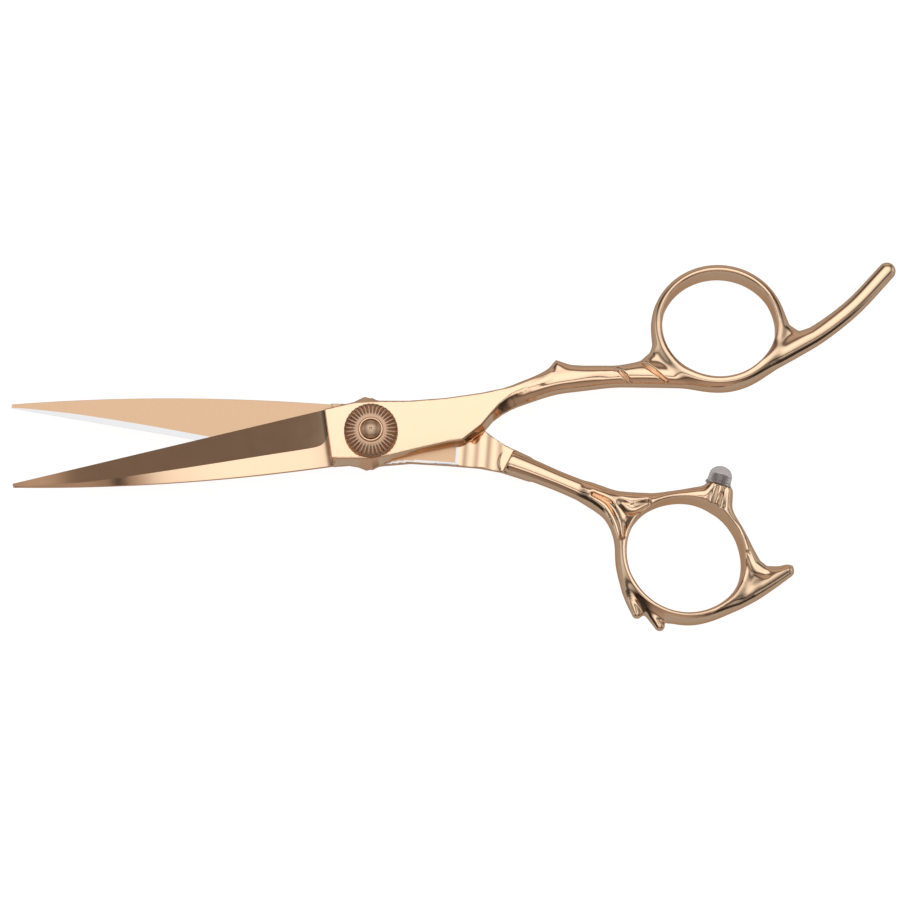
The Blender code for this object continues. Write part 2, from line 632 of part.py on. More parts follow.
def dial_collar(finish, parent):
    """The bright ring around the domed end of the stud."""
    low = DIAL_TOP_Z - COLLAR_SEAT + FIT
    profile = [
        (COLLAR_BORE, DIAL_TOP_Z + COLLAR_EDGE), (COLLAR_RADIUS - 0.2, DIAL_TOP_Z + COLLAR_RISE),
        (COLLAR_RADIUS - 0.05, DIAL_TOP_Z + COLLAR_EDGE),
        (COLLAR_RADIUS, DIAL_TOP_Z + COLLAR_SHOULDER),
        (COLLAR_RADIUS, low), (COLLAR_BORE, low),
    ]
    return add_object("dial_collar", turned(profile), finish, parent)


def stand_at_bumper(obj):
    """Stand a piece drawn on +Z on the seat above the rear finger ring."""
    obj.location = Vector(BUMPER_SEAT) * MM
    lean = Matrix.Rotation(-math.radians(BUMPER_LEAN), 3, "Z") @ Matrix.Rotation(math.radians(-90), 3, "X")
    obj.rotation_euler = lean.to_euler()


def bumper_stud(finish, parent):
    """The metal peg that screws into the rear arm and holds the cap."""
    stud = add_object("bumper_stud", cylinder(PEG_RADIUS, BUMPER_FOOT, PEG_TOP, 24), finish, parent)
    stand_at_bumper(stud)
    return stud


def bumper_cap(finish, parent):
    """The soft domed cap that meets the other handle when the shears close."""
    profile = [(0.0, BUMPER_HEIGHT)]
    for k in range(1, 6):
        turn = math.radians(90 - 15 * k)
        rise = BUMPER_DOME_RISE * (math.sin(turn) - 1)
        profile.append((BUMPER_DOME * math.cos(turn), BUMPER_HEIGHT + rise))
    profile += [
        (BUMPER_DOME + 0.05, BUMPER_WAIST_Z), (BUMPER_DOME + 0.1, BUMPER_SKIRT_Z + 0.1),
        (BUMPER_RADIUS, BUMPER_SKIRT_Z), (BUMPER_RADIUS, BUMPER_FOOT),
        (PEG_RADIUS + FIT, BUMPER_FOOT), (PEG_RADIUS + FIT, PEG_TOP + FIT), (0.0, PEG_TOP + FIT),
    ]
    cap = add_object("bumper_cap", turned(profile, 24), finish, parent)
    stand_at_bumper(cap)
    return cap


def build():
    clear_scene()
    gold = material("rose_gold", (0.80, 0.55, 0.36), 0.15, 1.0)
    steel = material("polished_steel", (0.75, 0.74, 0.72), 0.12, 1.0)
    spring_steel = material("spring_steel", (0.55, 0.55, 0.58), 0.3, 1.0)
    bronze = material("bearing_bronze", (0.55, 0.36, 0.18), 0.35, 1.0)
    polymer = material("glide_polymer", (0.85, 0.83, 0.78), 0.4, 0.0)
    silicone = material("clear_silicone", (0.75, 0.72, 0.70), 0.25, 0.0, 0.6)

    rear = pivot_empty("rear_pivot", REAR_ANGLE)
    front = pivot_empty("front_pivot", FRONT_ANGLE)
    bearing = pivot_empty("bearing_pivot", 0.5 * (FRONT_ANGLE + REAR_ANGLE))
    dial = pivot_empty("dial_pivot", 0.0)

    rear_arm(gold, rear)
    pivot_stud(gold, rear)
    glide_washer(polymer, rear)
    race("bearing_race_upper", BALL_Z + BALL_RADIUS + FIT, steel, rear)
    click_plate(steel, rear)
    click_spring(spring_steel, rear)
    bumper_stud(steel, rear)
    bumper_cap(silicone, rear)
    front_arm(gold, front)
    pivot_bush(bronze, front)
    race("bearing_race_lower", BALL_Z - BALL_RADIUS - FIT - RACE_HEIGHT, steel, front)
    bearing_cage(bronze, bearing)
    bearing_balls(steel, bearing)
    tension_dial(gold, dial)
    dial_collar(gold, dial)


build()
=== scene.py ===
"""Looks of the hair cutting shears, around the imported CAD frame.

Each arm is meshed from a distance field in its own frame (blade tip on -X, handle towards +X) and
turned to its angle. Lengths in the tables are millimetres. Blades are lofts, and the dial, collar, stud
and bumper are turned.
"""

import math

import bmesh
import bpy
import numpy as np
from mathutils import Matrix, Vector


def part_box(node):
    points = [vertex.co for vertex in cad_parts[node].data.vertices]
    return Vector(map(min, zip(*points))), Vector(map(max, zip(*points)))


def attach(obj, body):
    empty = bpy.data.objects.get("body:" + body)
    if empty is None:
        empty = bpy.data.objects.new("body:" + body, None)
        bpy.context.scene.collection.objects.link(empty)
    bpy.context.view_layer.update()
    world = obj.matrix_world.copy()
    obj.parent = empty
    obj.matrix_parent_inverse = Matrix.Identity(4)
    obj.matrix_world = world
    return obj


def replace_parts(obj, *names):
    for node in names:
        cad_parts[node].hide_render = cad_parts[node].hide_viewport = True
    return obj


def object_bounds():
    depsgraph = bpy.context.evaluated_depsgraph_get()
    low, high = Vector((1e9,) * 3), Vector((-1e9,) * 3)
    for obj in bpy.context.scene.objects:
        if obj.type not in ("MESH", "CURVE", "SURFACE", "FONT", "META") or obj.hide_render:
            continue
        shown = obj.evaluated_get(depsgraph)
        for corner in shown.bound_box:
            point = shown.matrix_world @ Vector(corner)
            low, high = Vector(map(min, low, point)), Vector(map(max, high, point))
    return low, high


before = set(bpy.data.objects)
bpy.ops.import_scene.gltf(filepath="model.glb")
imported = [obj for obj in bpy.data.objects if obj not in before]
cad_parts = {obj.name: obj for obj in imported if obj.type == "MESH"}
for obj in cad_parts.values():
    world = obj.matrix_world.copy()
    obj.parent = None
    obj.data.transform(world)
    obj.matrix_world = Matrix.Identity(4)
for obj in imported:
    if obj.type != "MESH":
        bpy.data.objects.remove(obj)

cad_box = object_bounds()

MM = 0.001


def box_in_mm(node):
    """The CAD node's lowest and highest corner in millimetres."""
    return [[round(float(value) / MM, 3) for value in corner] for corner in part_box(node)]


# Distance fields: how far a field reaches past its shape, the grid's cell, and how points settle on it.
FAR = 4.0
CELL = 0.22
SETTLE_STEPS = 2
MOST_SETTLE = 0.4 * CELL
GRADIENT_REACH = 0.02
FRONT_GRID = ((-9.5, -9.0, -4.0), (107.0, 28.0, 10.5))
REAR_GRID = ((-9.5, -37.0, -4.0), (86.0, 9.0, 10.5))

# Both arms. The ride faces are the flat faces that turn on each other.
FRONT_ANGLE = 8.0
REAR_ANGLE = -4.2
RIDE_Z = 3.7
FRONT_Z = 3.8
ARM_BACK_Z = 0.5
ARM_FRONT_Z = 7.0
BLOCK_WALL = 1.5
CROWN = 0.0025
END_DROP = 0.0022
END_DROP_X = 23.0
NECK_START_X = 17.2
NECK_END_X = 26.2
NECK_WAVES = 2
NECK_DIP = 0.4
RING_DEPTH = 5.0
RING_CREST = 0.38
WEB_HALF_WIDTH = 1.7
WEB_HALF_HEIGHT = 2.3
RIM_WIDTH = 0.5
RIM_START_X = 3.0
RIM_END_X = 17.0

# How square a section is: 2 is an ellipse, and more is squarer.
SHANK_POWER = 2.35
BRANCH_POWER = 2.1
PLATE_POWER = 2.2
GROOVE_POWER = 1.5

# Widths over which a shape runs smoothly into the ones before it.
BLOCK_BLEND = 0.05
BLOCK_SIDE_BLEND = 0.12
BLOCK_FACE_BLEND = 0.3
SHANK_BLEND = 0.8
BRANCH_BLEND = 1.4
WEB_BLEND = 1.0
RING_BLEND = 1.2
RING_EDGE_BLEND = 0.7
HOLE_BLEND = 0.4
FRONT_GROOVE_BLEND = 0.3
REAR_GROOVE_BLEND = 0.9
SHOULDER_BLEND = 0.1
SHOULDER_CORNER_BLEND = 0.4
BORE_BLEND = 0.05
SEAT_BLEND = 0.1

# Shoulders where the shank ends on the ride face: a line across the neck, and the room cleared beyond it.
FRONT_SHOULDER = ((25.6, -1.5), (25.6, 8.0))
REAR_SHOULDER = ((26.0, -5.5), (27.7, -1.5))
SHOULDER_BACK = 14.0
SHOULDER_SIDE = 6.0
SHOULDER_DEPTH = 9.0

# Holes on the pivot's axis: (radius, lowest z, highest z).
FRONT_BORES = [(2.85, 3.0, 9.0), (4.3, 5.8, 9.5)]
REAR_BORES = [(2.05, -1.0, 5.0), (3.7, -2.0, 1.05), (3.6, 3.4, 5.0)]

# Blades. Heights across the blade are measured towards its cutting edge.
BLADE_LENGTH = 70.0
PLUNGE_X = -8.3
HEEL_EDGE = 6.0
LEAST_EDGE = -0.1
TIP_SPINE = -0.75
SPINE_GROWTH = -4.55
SPINE_POWER = 2.1
SPINE_CHAMFER = 0.06
EDGE_LAND = 0.12
BLADE_STEPS = 10
BLADE_CREASE = 8.0
# Blade stations: distance from the pivot, ridge height, spine height, ridge place across, strip width.
BLADE_STATIONS = [
    (7.9, 2.75, 1.6, 1.2, 1.0), (8.6, 2.7, 1.6, 0.1, 1.0), (9.4, 2.6, 1.6, -0.95, 1.0),
    (10.6, 2.52, 1.58, -1.4, 1.0), (13.0, 2.5, 1.55, -1.55, 1.0), (20.0, 2.4, 1.5, -1.65, 1.0),
    (32.0, 2.15, 1.35, -1.85, 1.05), (44.0, 1.85, 1.2, -1.95, 1.2), (55.0, 1.5, 1.0, -1.9, 1.1),
    (62.0, 1.2, 0.85, -1.35, 0.8), (67.0, 0.9, 0.7, -0.95, 0.45), (69.8, 0.45, 0.4, -0.6, 0.12),
]

# Dial and its collar, on the pivot's axis.
DIAL_LOW, DIAL_HIGH = box_in_mm("tension_dial")
DIAL_RADIUS = DIAL_HIGH[0]
DIAL_Z = DIAL_LOW[2]
DIAL_LIP = 0.05
DIAL_TOP_Z = round(DIAL_HIGH[2] - DIAL_LIP, 3)
DIAL_FLUTES = 36
FLUTE_STEPS = 12
DIAL_BORE = 1.65
DIAL_POCKET_RADIUS = 4.4
DIAL_POCKET_Z = 8.25
DIAL_WELL_RADIUS = 2.45
DIAL_WELL_DEPTH = 0.3
DIAL_CREASE = 38.0
COLLAR_LOW, COLLAR_HIGH = box_in_mm("dial_collar")
COLLAR_RADIUS = COLLAR_HIGH[0]
COLLAR_BORE = 1.92

# Pivot stud.
DOME_RADIUS = 1.8
DOME_Z = 9.4
DOME_RISE = 0.95
DOME_STEPS = 12
DOME_FIRST_TURN = 81.0
DOME_TURN = 6.75
STUD_HEAD_RADIUS = 3.6
STUD_HEAD_Z = 1.0
STUD_SHANK_RADIUS = 1.65

# Bumper, whose own axis leans in the plane of the shears.
BUMPER_SEAT = (67.45, -5.0, 3.1)
BUMPER_LEAN = 12.5
BUMPER_RADIUS = 2.55
BUMPER_HEIGHT = 3.88
BUMPER_SEAT_PLAY = 0.1
BUMPER_SEAT_REACH = 10.0
BUMPER_FOOT = 0.15
BUMPER_DOME_RADIUS = 2.25
BUMPER_DOME_RISE = 2.0
BUMPER_DOME_STEPS = 12
BUMPER_DOME_TURN = 7.0
BUMPER_POCKET_RADIUS = 1.55
BUMPER_POCKET_TOP = 2.05
PEG_RADIUS = 1.5
PEG_TOP = 2.0

TURNED_STEPS = 96
BUMPER_STEPS = 64
PEG_STEPS = 48
TURNED_CREASE = 40.0

# Finishes.
GOLD_EDGE = (0.86, 0.60, 0.44)
PLAIN_EDGE = (1.0, 1.0, 1.0)
GRAIN_DETAIL = 4.0
GRAIN_DEPTH = 0.00002
ALONG_BLADE = (14, 1, 1)

# Brightness of the room by direction, from -Y (-1) over the top (0) to +Y (1).
SOFTBOX = 2.0
DARK_TINT = (1.14, 0.94, 0.82)
DARK_SHARE = 1 / 3
ROOM = [
    (-1.0, 0.42), (-0.82, 0.38), (-0.66, 0.30), (-0.58, 0.05), (-0.50, 0.45), (-0.42, 1.20),
    (-0.34, 1.45), (-0.25, 1.20), (-0.205, 0.10), (-0.15, 0.10), (-0.10, 1.20), (0.10, 1.35),
    (0.18, 1.48), (0.42, 1.45), (0.58, 1.25), (0.66, 0.75), (0.71, 0.16), (0.80, 0.19), (0.90, 0.50),
    (1.0, 0.50),
]
# Share of that brightness left at each distance to the sides, from straight up (0) to +-X (1).
ROOM_SIDES = [
    (0.0, 1.0), (0.2, 0.95), (0.42, 0.72), (0.58, 0.35), (0.7, 0.12), (0.82, 0.4), (1.0, 0.6),
]

# Stage, in metres.
STAGE_SIZE = 4.0
FLOOR_GAP = 0.0005
FLOOR_GREY = 0.22
FLOOR_GLOW = 0.92
TABLE_GREY = 0.42
STAGE_ROUGHNESS = 0.9

# Camera, in metres and degrees.
CAMERA_TARGET = (0.0156, -0.0035, 0.004)
CAMERA_ELEVATION = 80.0
CAMERA_DISTANCE = 0.9
VIEW_WIDTH = 0.1745
SENSOR_WIDTH = 36.0
CLIP_START = 0.01

# Pivot block outlines, as pairs: the outer wall's corner, then the flat face's corner.
FRONT_BLOCK = [
    ((-8.3, 5.9), (-8.3, 5.6)), ((-4.1, 6.3), (-4.3, 6.0)), ((-2.4, 6.5), (-2.3, 6.1)),
    ((-0.3, 7.25), (-0.2, 5.9)), ((2.3, 6.1), (2.3, 5.7)), ((8.0, 5.25), (8.0, 4.95)),
    ((15.0, 4.8), (15.0, 4.5)), ((22.0, 4.85), (22.0, 4.5)), ((28.0, 5.25), (27.9, 4.95)),
    ((32.2, 6.15), (31.9, 5.85)), ((36.0, 7.4), (36.0, 6.7)), ((36.0, 3.6), (35.6, 5.7)),
    ((31.5, 2.2), (31.0, 4.7)), ((28.6, 1.4), (27.6, 3.5)),
    ((25.6, 0.2), (25.2, 1.9)), ((23.6, -0.9), (23.3, 0.2)), ((21.8, -2.5), (21.3, -1.6)),
    ((17.8, -4.6), (17.2, -4.0)), ((15.2, -4.5), (14.6, -4.0)), ((9.0, -4.85), (8.1, -4.6)),
    ((3.5, -5.5), (3.2, -5.1)), ((-0.7, -7.05), (-0.6, -5.1)), ((-5.0, -5.6), (-4.8, -4.6)),
    ((-8.3, -5.4), (-8.3, -4.1)),
]
REAR_BLOCK = [
    ((-8.3, -5.8), (-8.3, -5.5)), ((-4.1, -6.15), (-4.3, -5.9)), ((-2.4, -6.3), (-2.3, -6.0)),
    ((-0.4, -6.95), (-0.3, -5.8)), ((2.3, -5.9), (2.3, -5.6)), ((8.0, -4.95), (8.0, -4.7)),
    ((15.0, -4.85), (15.0, -4.6)), ((21.4, -4.95), (21.4, -4.65)), ((27.2, -5.65), (26.8, -5.2)),
    ((31.0, -6.6), (29.7, -5.7)), ((31.0, -2.4), (29.5, -5.2)), ((28.6, -1.35), (27.3, -3.9)),
    ((25.8, -0.1), (25.2, -2.3)), ((23.8, 1.1), (23.3, -0.4)), ((21.6, 2.5), (21.3, 1.4)),
    ((17.8, 4.3), (17.2, 3.7)), ((15.2, 4.4), (14.6, 3.8)), ((9.0, 4.75), (8.1, 4.4)),
    ((3.5, 5.6), (3.2, 5.0)), ((-0.4, 7.2), (-0.5, 5.0)), ((-5.0, 5.65), (-4.8, 4.5)),
    ((-8.3, 5.5), (-8.3, 4.1)),
]

# Finger rings: centre, lean in degrees, direction it leans towards, hole radius, wall.
FRONT_RING = ((69.6, 11.35, 3.4), 12.5, 82.0, 11.0, 2.1)
REAR_RING = ((61.8, -19.7, 4.2), 13.5, 52.0, 11.5, 1.6)

# Planes that the webs between the bars lie in: a point on each, lean, direction it leans towards.
THORN_PLANE = ((40.0, 6.0, 4.25), 0.0, 0.0)
STEM_PLANE = ((54.0, 3.9, 4.6), 10.7, 100.7)
FORK_PLANE = ((48.5, -9.3, 3.7), 11.1, 70.0)
SPUR_PLANE = ((61.8, -19.7, 2.7), 13.5, 52.0)

# Bars: (x, y, z, half width in the plane of the shears, half height).
FRONT_SHANK = [
    (28.0, 3.4, 4.2, 1.9, 2.2), (32.0, 4.25, 4.25, 2.15, 2.45), (37.0, 5.1, 4.2, 2.3, 2.55),
    (42.0, 5.0, 4.2, 2.3, 2.5), (48.0, 4.6, 4.3, 2.1, 2.5), (54.0, 3.9, 4.6, 2.3, 2.5),
    (60.0, 2.6, 5.1, 2.05, 2.4), (66.0, 1.25, 5.6, 1.8, 2.3), (71.0, 1.2, 5.7, 1.78, 2.2),
    (77.0, 2.8, 5.3, 1.95, 2.2), (83.0, 5.1, 4.8, 1.95, 2.1), (89.2, 7.75, 4.4, 1.85, 2.0),
    (96.3, 12.0, 4.1, 1.75, 2.0), (103.6, 17.9, 4.0, 1.7, 1.8),
]
FRONT_WEBS = [
    (THORN_PLANE, [
        (29.5, 4.7), (31.8, 5.5), (34.2, 6.65), (35.6, 7.65), (36.7, 8.8), (37.4, 9.35), (38.3, 8.9),
        (40.0, 8.0), (42.7, 7.2), (46.5, 6.45), (50.5, 4.9), (40.0, 3.4), (31.0, 3.2),
    ]),
    (STEM_PLANE, [
        (46.5, 4.9), (50.4, 6.2), (53.4, 6.85), (55.5, 8.25), (56.7, 9.9), (57.2, 11.8), (57.5, 14.0),
        (58.7, 17.2), (59.4, 14.0), (59.6, 11.0), (60.8, 8.0), (63.0, 5.4), (66.5, 1.9), (60.0, 1.8),
        (53.0, 2.9),
    ]),
    (FRONT_RING, [
        (73.0, 1.7), (78.0, 2.2), (83.0, 3.8), (89.0, 6.5), (92.2, 8.6), (95.5, 11.4), (93.1, 11.5),
        (89.9, 9.75), (87.2, 8.6), (84.9, 8.55), (83.2, 10.2), (82.2, 12.8), (81.5, 14.8),
        (80.4, 17.0), (80.2, 14.0), (80.2, 11.0), (78.6, 6.6), (75.5, 3.6),
    ]),
]
REAR_SHANK = [
    (27.6, -3.5, 3.1, 2.25, 2.3), (32.0, -4.85, 3.2, 2.05, 2.3),
    (37.0, -6.55, 3.4, 1.9, 2.3),
    (42.0, -8.3, 3.6, 2.0, 2.3), (46.0, -10.1, 3.8, 1.9, 2.3),
]
REAR_BRANCHES = [
    [
        (43.0, -8.5, 3.6, 1.8, 2.2), (48.5, -9.3, 3.6, 1.5, 2.2), (54.0, -8.9, 3.2, 1.25, 2.1),
        (59.0, -8.2, 2.7, 1.25, 2.1), (63.5, -7.1, 2.5, 1.6, 2.2), (67.2, -6.8, 2.7, 1.9, 2.2),
    ],
    [(66.6, -9.6, 2.2, 2.2, 2.3), (67.5, -5.4, 3.05, 2.2, 2.1)],
    [
        (44.5, -9.6, 3.8, 1.7, 2.2), (47.8, -13.2, 4.4, 1.4, 2.2), (49.6, -18.0, 5.2, 1.2, 2.2),
        (50.5, -23.0, 6.0, 1.3, 2.1), (51.9, -28.0, 6.6, 1.3, 1.9), (53.4, -31.6, 6.8, 0.95, 1.2),
    ],
    [(53.0, -26.0, 6.4, 1.0, 1.8), (55.8, -30.6, 6.8, 1.3, 1.7), (57.9, -33.6, 6.8, 1.0, 1.2)],
    [
        (68.6, -6.6, 2.7, 1.8, 2.1), (69.4, -10.2, 2.2, 1.35, 2.2), (71.0, -14.6, 2.1, 1.2, 2.2),
        (73.8, -19.0, 2.3, 1.5, 2.1), (74.6, -24.4, 3.2, 1.6, 2.0),
    ],
    [
        (59.0, -31.0, 5.7, 1.3, 2.0), (64.5, -31.1, 5.4, 1.3, 2.2), (71.0, -28.4, 4.5, 1.5, 2.2),
        (76.0, -24.9, 3.4, 1.7, 2.0), (81.9, -20.6, 2.4, 1.2, 1.4),
    ],
]

REAR_WEBS = [
    (FORK_PLANE, [
        (41.0, -7.8), (43.5, -7.1), (48.0, -7.85), (54.0, -7.85), (61.0, -8.1), (57.0, -9.6),
        (53.5, -11.4), (51.2, -14.4), (50.2, -20.5), (48.9, -18.0), (47.7, -15.0), (45.6, -12.0),
        (43.2, -10.2),
    ]),
    (REAR_RING, [
        (72.0, -13.5), (73.8, -14.9), (75.5, -17.2), (76.6, -18.9), (77.9, -19.8), (80.0, -19.7),
        (82.9, -19.4), (82.9, -20.7), (80.0, -23.3), (76.0, -26.5), (68.0, -30.3), (70.5, -27.0),
        (73.2, -23.5), (73.4, -19.0),
    ]),
    (SPUR_PLANE, [
        (49.8, -22.0), (50.8, -27.5), (52.3, -29.6), (54.9, -30.4), (57.2, -31.9), (59.5, -32.2),
        (56.6, -30.6), (54.0, -29.2), (51.8, -26.6), (50.6, -22.0),
    ]),
]

# Grooves carved along the bars: (x, y, z, half width, half depth).
FRONT_GROOVES = [
    [(47.8, 7.0, 5.6, 0.25, 0.5), (48.8, 5.8, 6.75, 0.4, 0.5), (49.7, 4.4, 6.95, 0.4, 0.5),
     (50.9, 2.7, 6.4, 0.25, 0.4)],
    [(53.0, 7.1, 5.9, 0.25, 0.5), (54.2, 5.9, 6.75, 0.4, 0.55), (55.6, 4.2, 7.1, 0.45, 0.5),
     (57.8, 1.9, 6.8, 0.3, 0.5)],
]
REAR_GROOVES = [
    [(43.5, -8.9, 6.0, 0.25, 0.3), (46.8, -10.6, 6.25, 0.4, 0.4), (48.8, -13.6, 6.8, 0.4, 0.4),
     (49.7, -17.0, 7.4, 0.25, 0.3)],
    [(49.2, -10.2, 6.25, 0.5, 0.5), (51.4, -11.2, 6.2, 1.0, 0.6), (54.0, -9.9, 5.7, 0.6, 0.5)],
    [(74.0, -18.0, 4.65, 0.3, 0.3), (75.4, -20.6, 4.9, 0.7, 0.4), (77.6, -21.6, 4.7, 0.4, 0.3)],
    [(66.0, -9.2, 4.6, 0.4, 0.35), (66.4, -7.2, 5.05, 0.55, 0.4), (66.9, -5.6, 5.2, 0.3, 0.3)],
    [(68.4, -9.0, 4.5, 0.4, 0.35), (68.7, -7.2, 4.95, 0.5, 0.4), (68.9, -5.8, 5.0, 0.3, 0.3)],
]


# Fields. Each gives a signed distance in millimetres, negative inside.


def smooth_curve(points, steps):
    """Points on a Catmull-Rom curve through the given ones, which may carry extra values."""
    given = np.array(points, float)
    padded = np.vstack([2 * given[0] - given[1], given, 2 * given[-1] - given[-2]])
    curve = []
    for i in range(len(given) - 1):
        a, b, c, d = padded[i : i + 4]
        for t in np.arange(steps) / steps:
            square = 2 * a - 5 * b + 4 * c - d
            cube = 3 * b - a - 3 * c + d
            curve.append(0.5 * (2 * b + (c - a) * t + square * t**2 + cube * t**3))
    curve.append(given[-1])
    return np.array(curve)


def oval_distance(side, rise, half_width, half_height, power):
    u = np.abs(side) / half_width + 1e-6
    v = np.abs(rise) / half_height + 1e-6
    reach = (u**power + v**power) ** (1.0 / power)
    across = (u / reach) ** (power - 1.0) / half_width
    upward = (v / reach) ** (power - 1.0) / half_height
    return (reach - 1.0) / np.sqrt(across**2 + upward**2)


def bar(stations, power, steps=8):
    """A bar along a smooth line, rounded at both ends. Its section is an oval, squarer as power rises."""
    line = smooth_curve(stations, steps)

    def field(x, y, z):
        nearest = np.full(x.shape, 1e9)
        here = [np.zeros(x.shape) for _ in range(3)]
        for a, b in zip(line[:-1], line[1:]):
            run = b[:2] - a[:2]
            t = ((x - a[0]) * run[0] + (y - a[1]) * run[1]) / (run @ run)
            t = np.clip(t, 0.0, 1.0)
            gap = (x - a[0] - t * run[0]) ** 2 + (y - a[1] - t * run[1]) ** 2
            closer = gap < nearest
            nearest = np.where(closer, gap, nearest)
            for k in range(3):
                here[k] = np.where(closer, a[2 + k] + t * (b[2 + k] - a[2 + k]), here[k])
        return oval_distance(np.sqrt(nearest), z - here[0], here[1], here[2], power)

    size = line[:, 3:5].max()
    low = line[:, :3].min(0) - size - FAR
    high = line[:, :3].max(0) + size + FAR
    return low, high, field


def leaning_frame(centre, lean, towards):
    """Turns points into a leaning ring's own directions: two in its plane, and one along its axis."""
    turn = math.radians(towards)
    hinge = Vector((-math.sin(turn), math.cos(turn), 0.0))
    axes = np.array(Matrix.Rotation(math.radians(lean), 3, hinge))

    def own(x, y, z):
        dx, dy, dz = x - centre[0], y - centre[1], z - centre[2]
        return [axes[0, k] * dx + axes[1, k] * dy + axes[2, k] * dz for k in range(3)]

    return own


def around_point(point, reach, field):
    middle = np.array(point)
    return middle - reach, middle + reach, field


def finger_ring(centre, lean, towards, hole, wall):
    """A leaning ring whose inner wall is flat and whose outside is a half oval."""
    own = leaning_frame(centre, lean, towards)
    half_width = (1 - RING_CREST) * wall

    def field(x, y, z):
        across, along, up = own(x, y, z)
        out = np.sqrt(across**2 + along**2) - hole
        band = oval_distance(out - RING_CREST * wall, up, half_width, RING_DEPTH / 2, PLATE_POWER)
        return smooth_max(band, -out, RING_EDGE_BLEND)

    return around_point(centre, hole + wall + FAR, field)


def finger_hole(centre, lean, towards, hole, wall):
    """The ring's round hole, which clears the bars that run into it."""
    own = leaning_frame(centre, lean, towards)

    def field(x, y, z):
        across, along, _ = own(x, y, z)
        return np.sqrt(across**2 + along**2) - hole

    return around_point(centre, hole + wall + FAR, field)


def outline_distance(corners, x, y):
    nearest = np.full(x.shape, 1e9)
    inside = np.zeros(x.shape, bool)
    for i, (ax, ay) in enumerate(corners):
        bx, by = corners[(i + 1) % len(corners)]
        run_x, run_y = bx - ax, by - ay
        t = ((x - ax) * run_x + (y - ay) * run_y) / (run_x**2 + run_y**2)
        t = np.clip(t, 0.0, 1.0)
        gap = (x - ax - t * run_x) ** 2 + (y - ay - t * run_y) ** 2
        nearest = np.minimum(nearest, gap)
        if ay != by:
            crosses = ((ay > y) != (by > y)) & (x < run_x * (y - ay) / run_y + ax)
            inside ^= crosses
    return np.where(inside, -1.0, 1.0) * np.sqrt(nearest)


def web(corners, plane):
    """A plate with a fully rounded edge, in a leaning plane, that fills the corner between bars."""
    centre, lean, towards = plane[:3]
    fall = math.tan(math.radians(lean))
    fall_x, fall_y = fall * math.cos(math.radians(towards)), fall * math.sin(math.radians(towards))

    def level(x, y):
        return centre[2] - fall_x * (x - centre[0]) - fall_y * (y - centre[1])

    def field(x, y, z):
        inset = np.maximum(outline_distance(corners, x, y) + WEB_HALF_WIDTH, 0.0)
        return oval_distance(inset, z - level(x, y), WEB_HALF_WIDTH, WEB_HALF_HEIGHT, PLATE_POWER)

    outline = np.array(corners)
    levels = level(outline[:, 0], outline[:, 1])
    low = np.array([*outline.min(0), levels.min() - WEB_HALF_HEIGHT]) - FAR
    high = np.array([*outline.max(0), levels.max() + WEB_HALF_HEIGHT]) + FAR
    return low, high, field


def block(pairs, ride_z, face_z, neck_dip):
    """A pivot block: an upright wall from the ride face, then facets that slope in to the flat face."""
    outer = [pair[0] for pair in pairs]
    inner = [pair[1] for pair in pairs]
    way = 1.0 if face_z > ride_z else -1.0
    slope_height = abs(face_z - ride_z) - BLOCK_WALL

    def field(x, y, z):
        height = (z - ride_z) * way
        share = np.clip((height - BLOCK_WALL) / slope_height, 0.0, 1.0)
        side = outline_distance(outer, x, y) * (1 - share) + outline_distance(inner, x, y) * share
        along = np.clip((x - NECK_START_X) / (NECK_END_X - NECK_START_X), 0.0, 1.0)
        dip = neck_dip * (1 - np.cos(2 * math.pi * NECK_WAVES * along)) / 2
        sides = smooth_max(side, dip - height, BLOCK_SIDE_BLEND)
        crown = CROWN * y**2 + END_DROP * np.maximum(x - END_DROP_X, 0.0) ** 2
        return smooth_max(sides, height - BLOCK_WALL - slope_height + crown, BLOCK_FACE_BLEND)

    corners = np.array(outer)
    low_z, high_z = sorted((ride_z, face_z))
    low = np.array([*corners.min(0), low_z]) - FAR
    high = np.array([*corners.max(0), high_z]) + FAR
    return low, high, field


def round_hole(radius, low_z, high_z):
    def field(x, y, z):
        side = np.sqrt(x**2 + y**2) - radius
        return np.maximum(np.maximum(side, low_z - z), z - high_z)

    edge = radius + FAR
    return np.array([-edge, -edge, low_z - FAR]), np.array([edge, edge, high_z + FAR]), field


def shoulder(ride_z, way, start, end):
    """Clears the shank from over the ride face, on the blade's side of a line across the neck."""
    run = np.array(end) - np.array(start)
    across = np.array([run[1], -run[0]]) / np.linalg.norm(run)

    def field(x, y, z):
        beyond = (x - start[0]) * across[0] + (y - start[1]) * across[1]
        return smooth_max(beyond, (z - ride_z) * way, SHOULDER_CORNER_BLEND)

    low_y, high_y = sorted((start[1], end[1]))
    low = np.array([start[0] - SHOULDER_BACK, low_y - SHOULDER_SIDE, ride_z - SHOULDER_DEPTH])
    high = np.array([end[0] + SHOULDER_SIDE, high_y + SHOULDER_SIDE, ride_z + SHOULDER_DEPTH])
    return low, high, field


def smooth_min(a, b, width):
    near = np.maximum(width - np.abs(a - b), 0.0) / width
    return np.minimum(a, b) - near * near * width * 0.25


def smooth_max(a, b, width):
    return -smooth_min(-a, -b, width)


def apply_step(values, distance, operation, width):
    if operation == "add":
        return smooth_min(values, distance, width)
    return smooth_max(values, -distance, width)


def field_at(steps, points):
    values = np.full(len(points), FAR)
    for (low, high, field), operation, width in steps:
        near = ((points > low) & (points < high)).all(1)
        x, y, z = points[near].T
        values[near] = apply_step(values[near], field(x, y, z), operation, width)
    return values


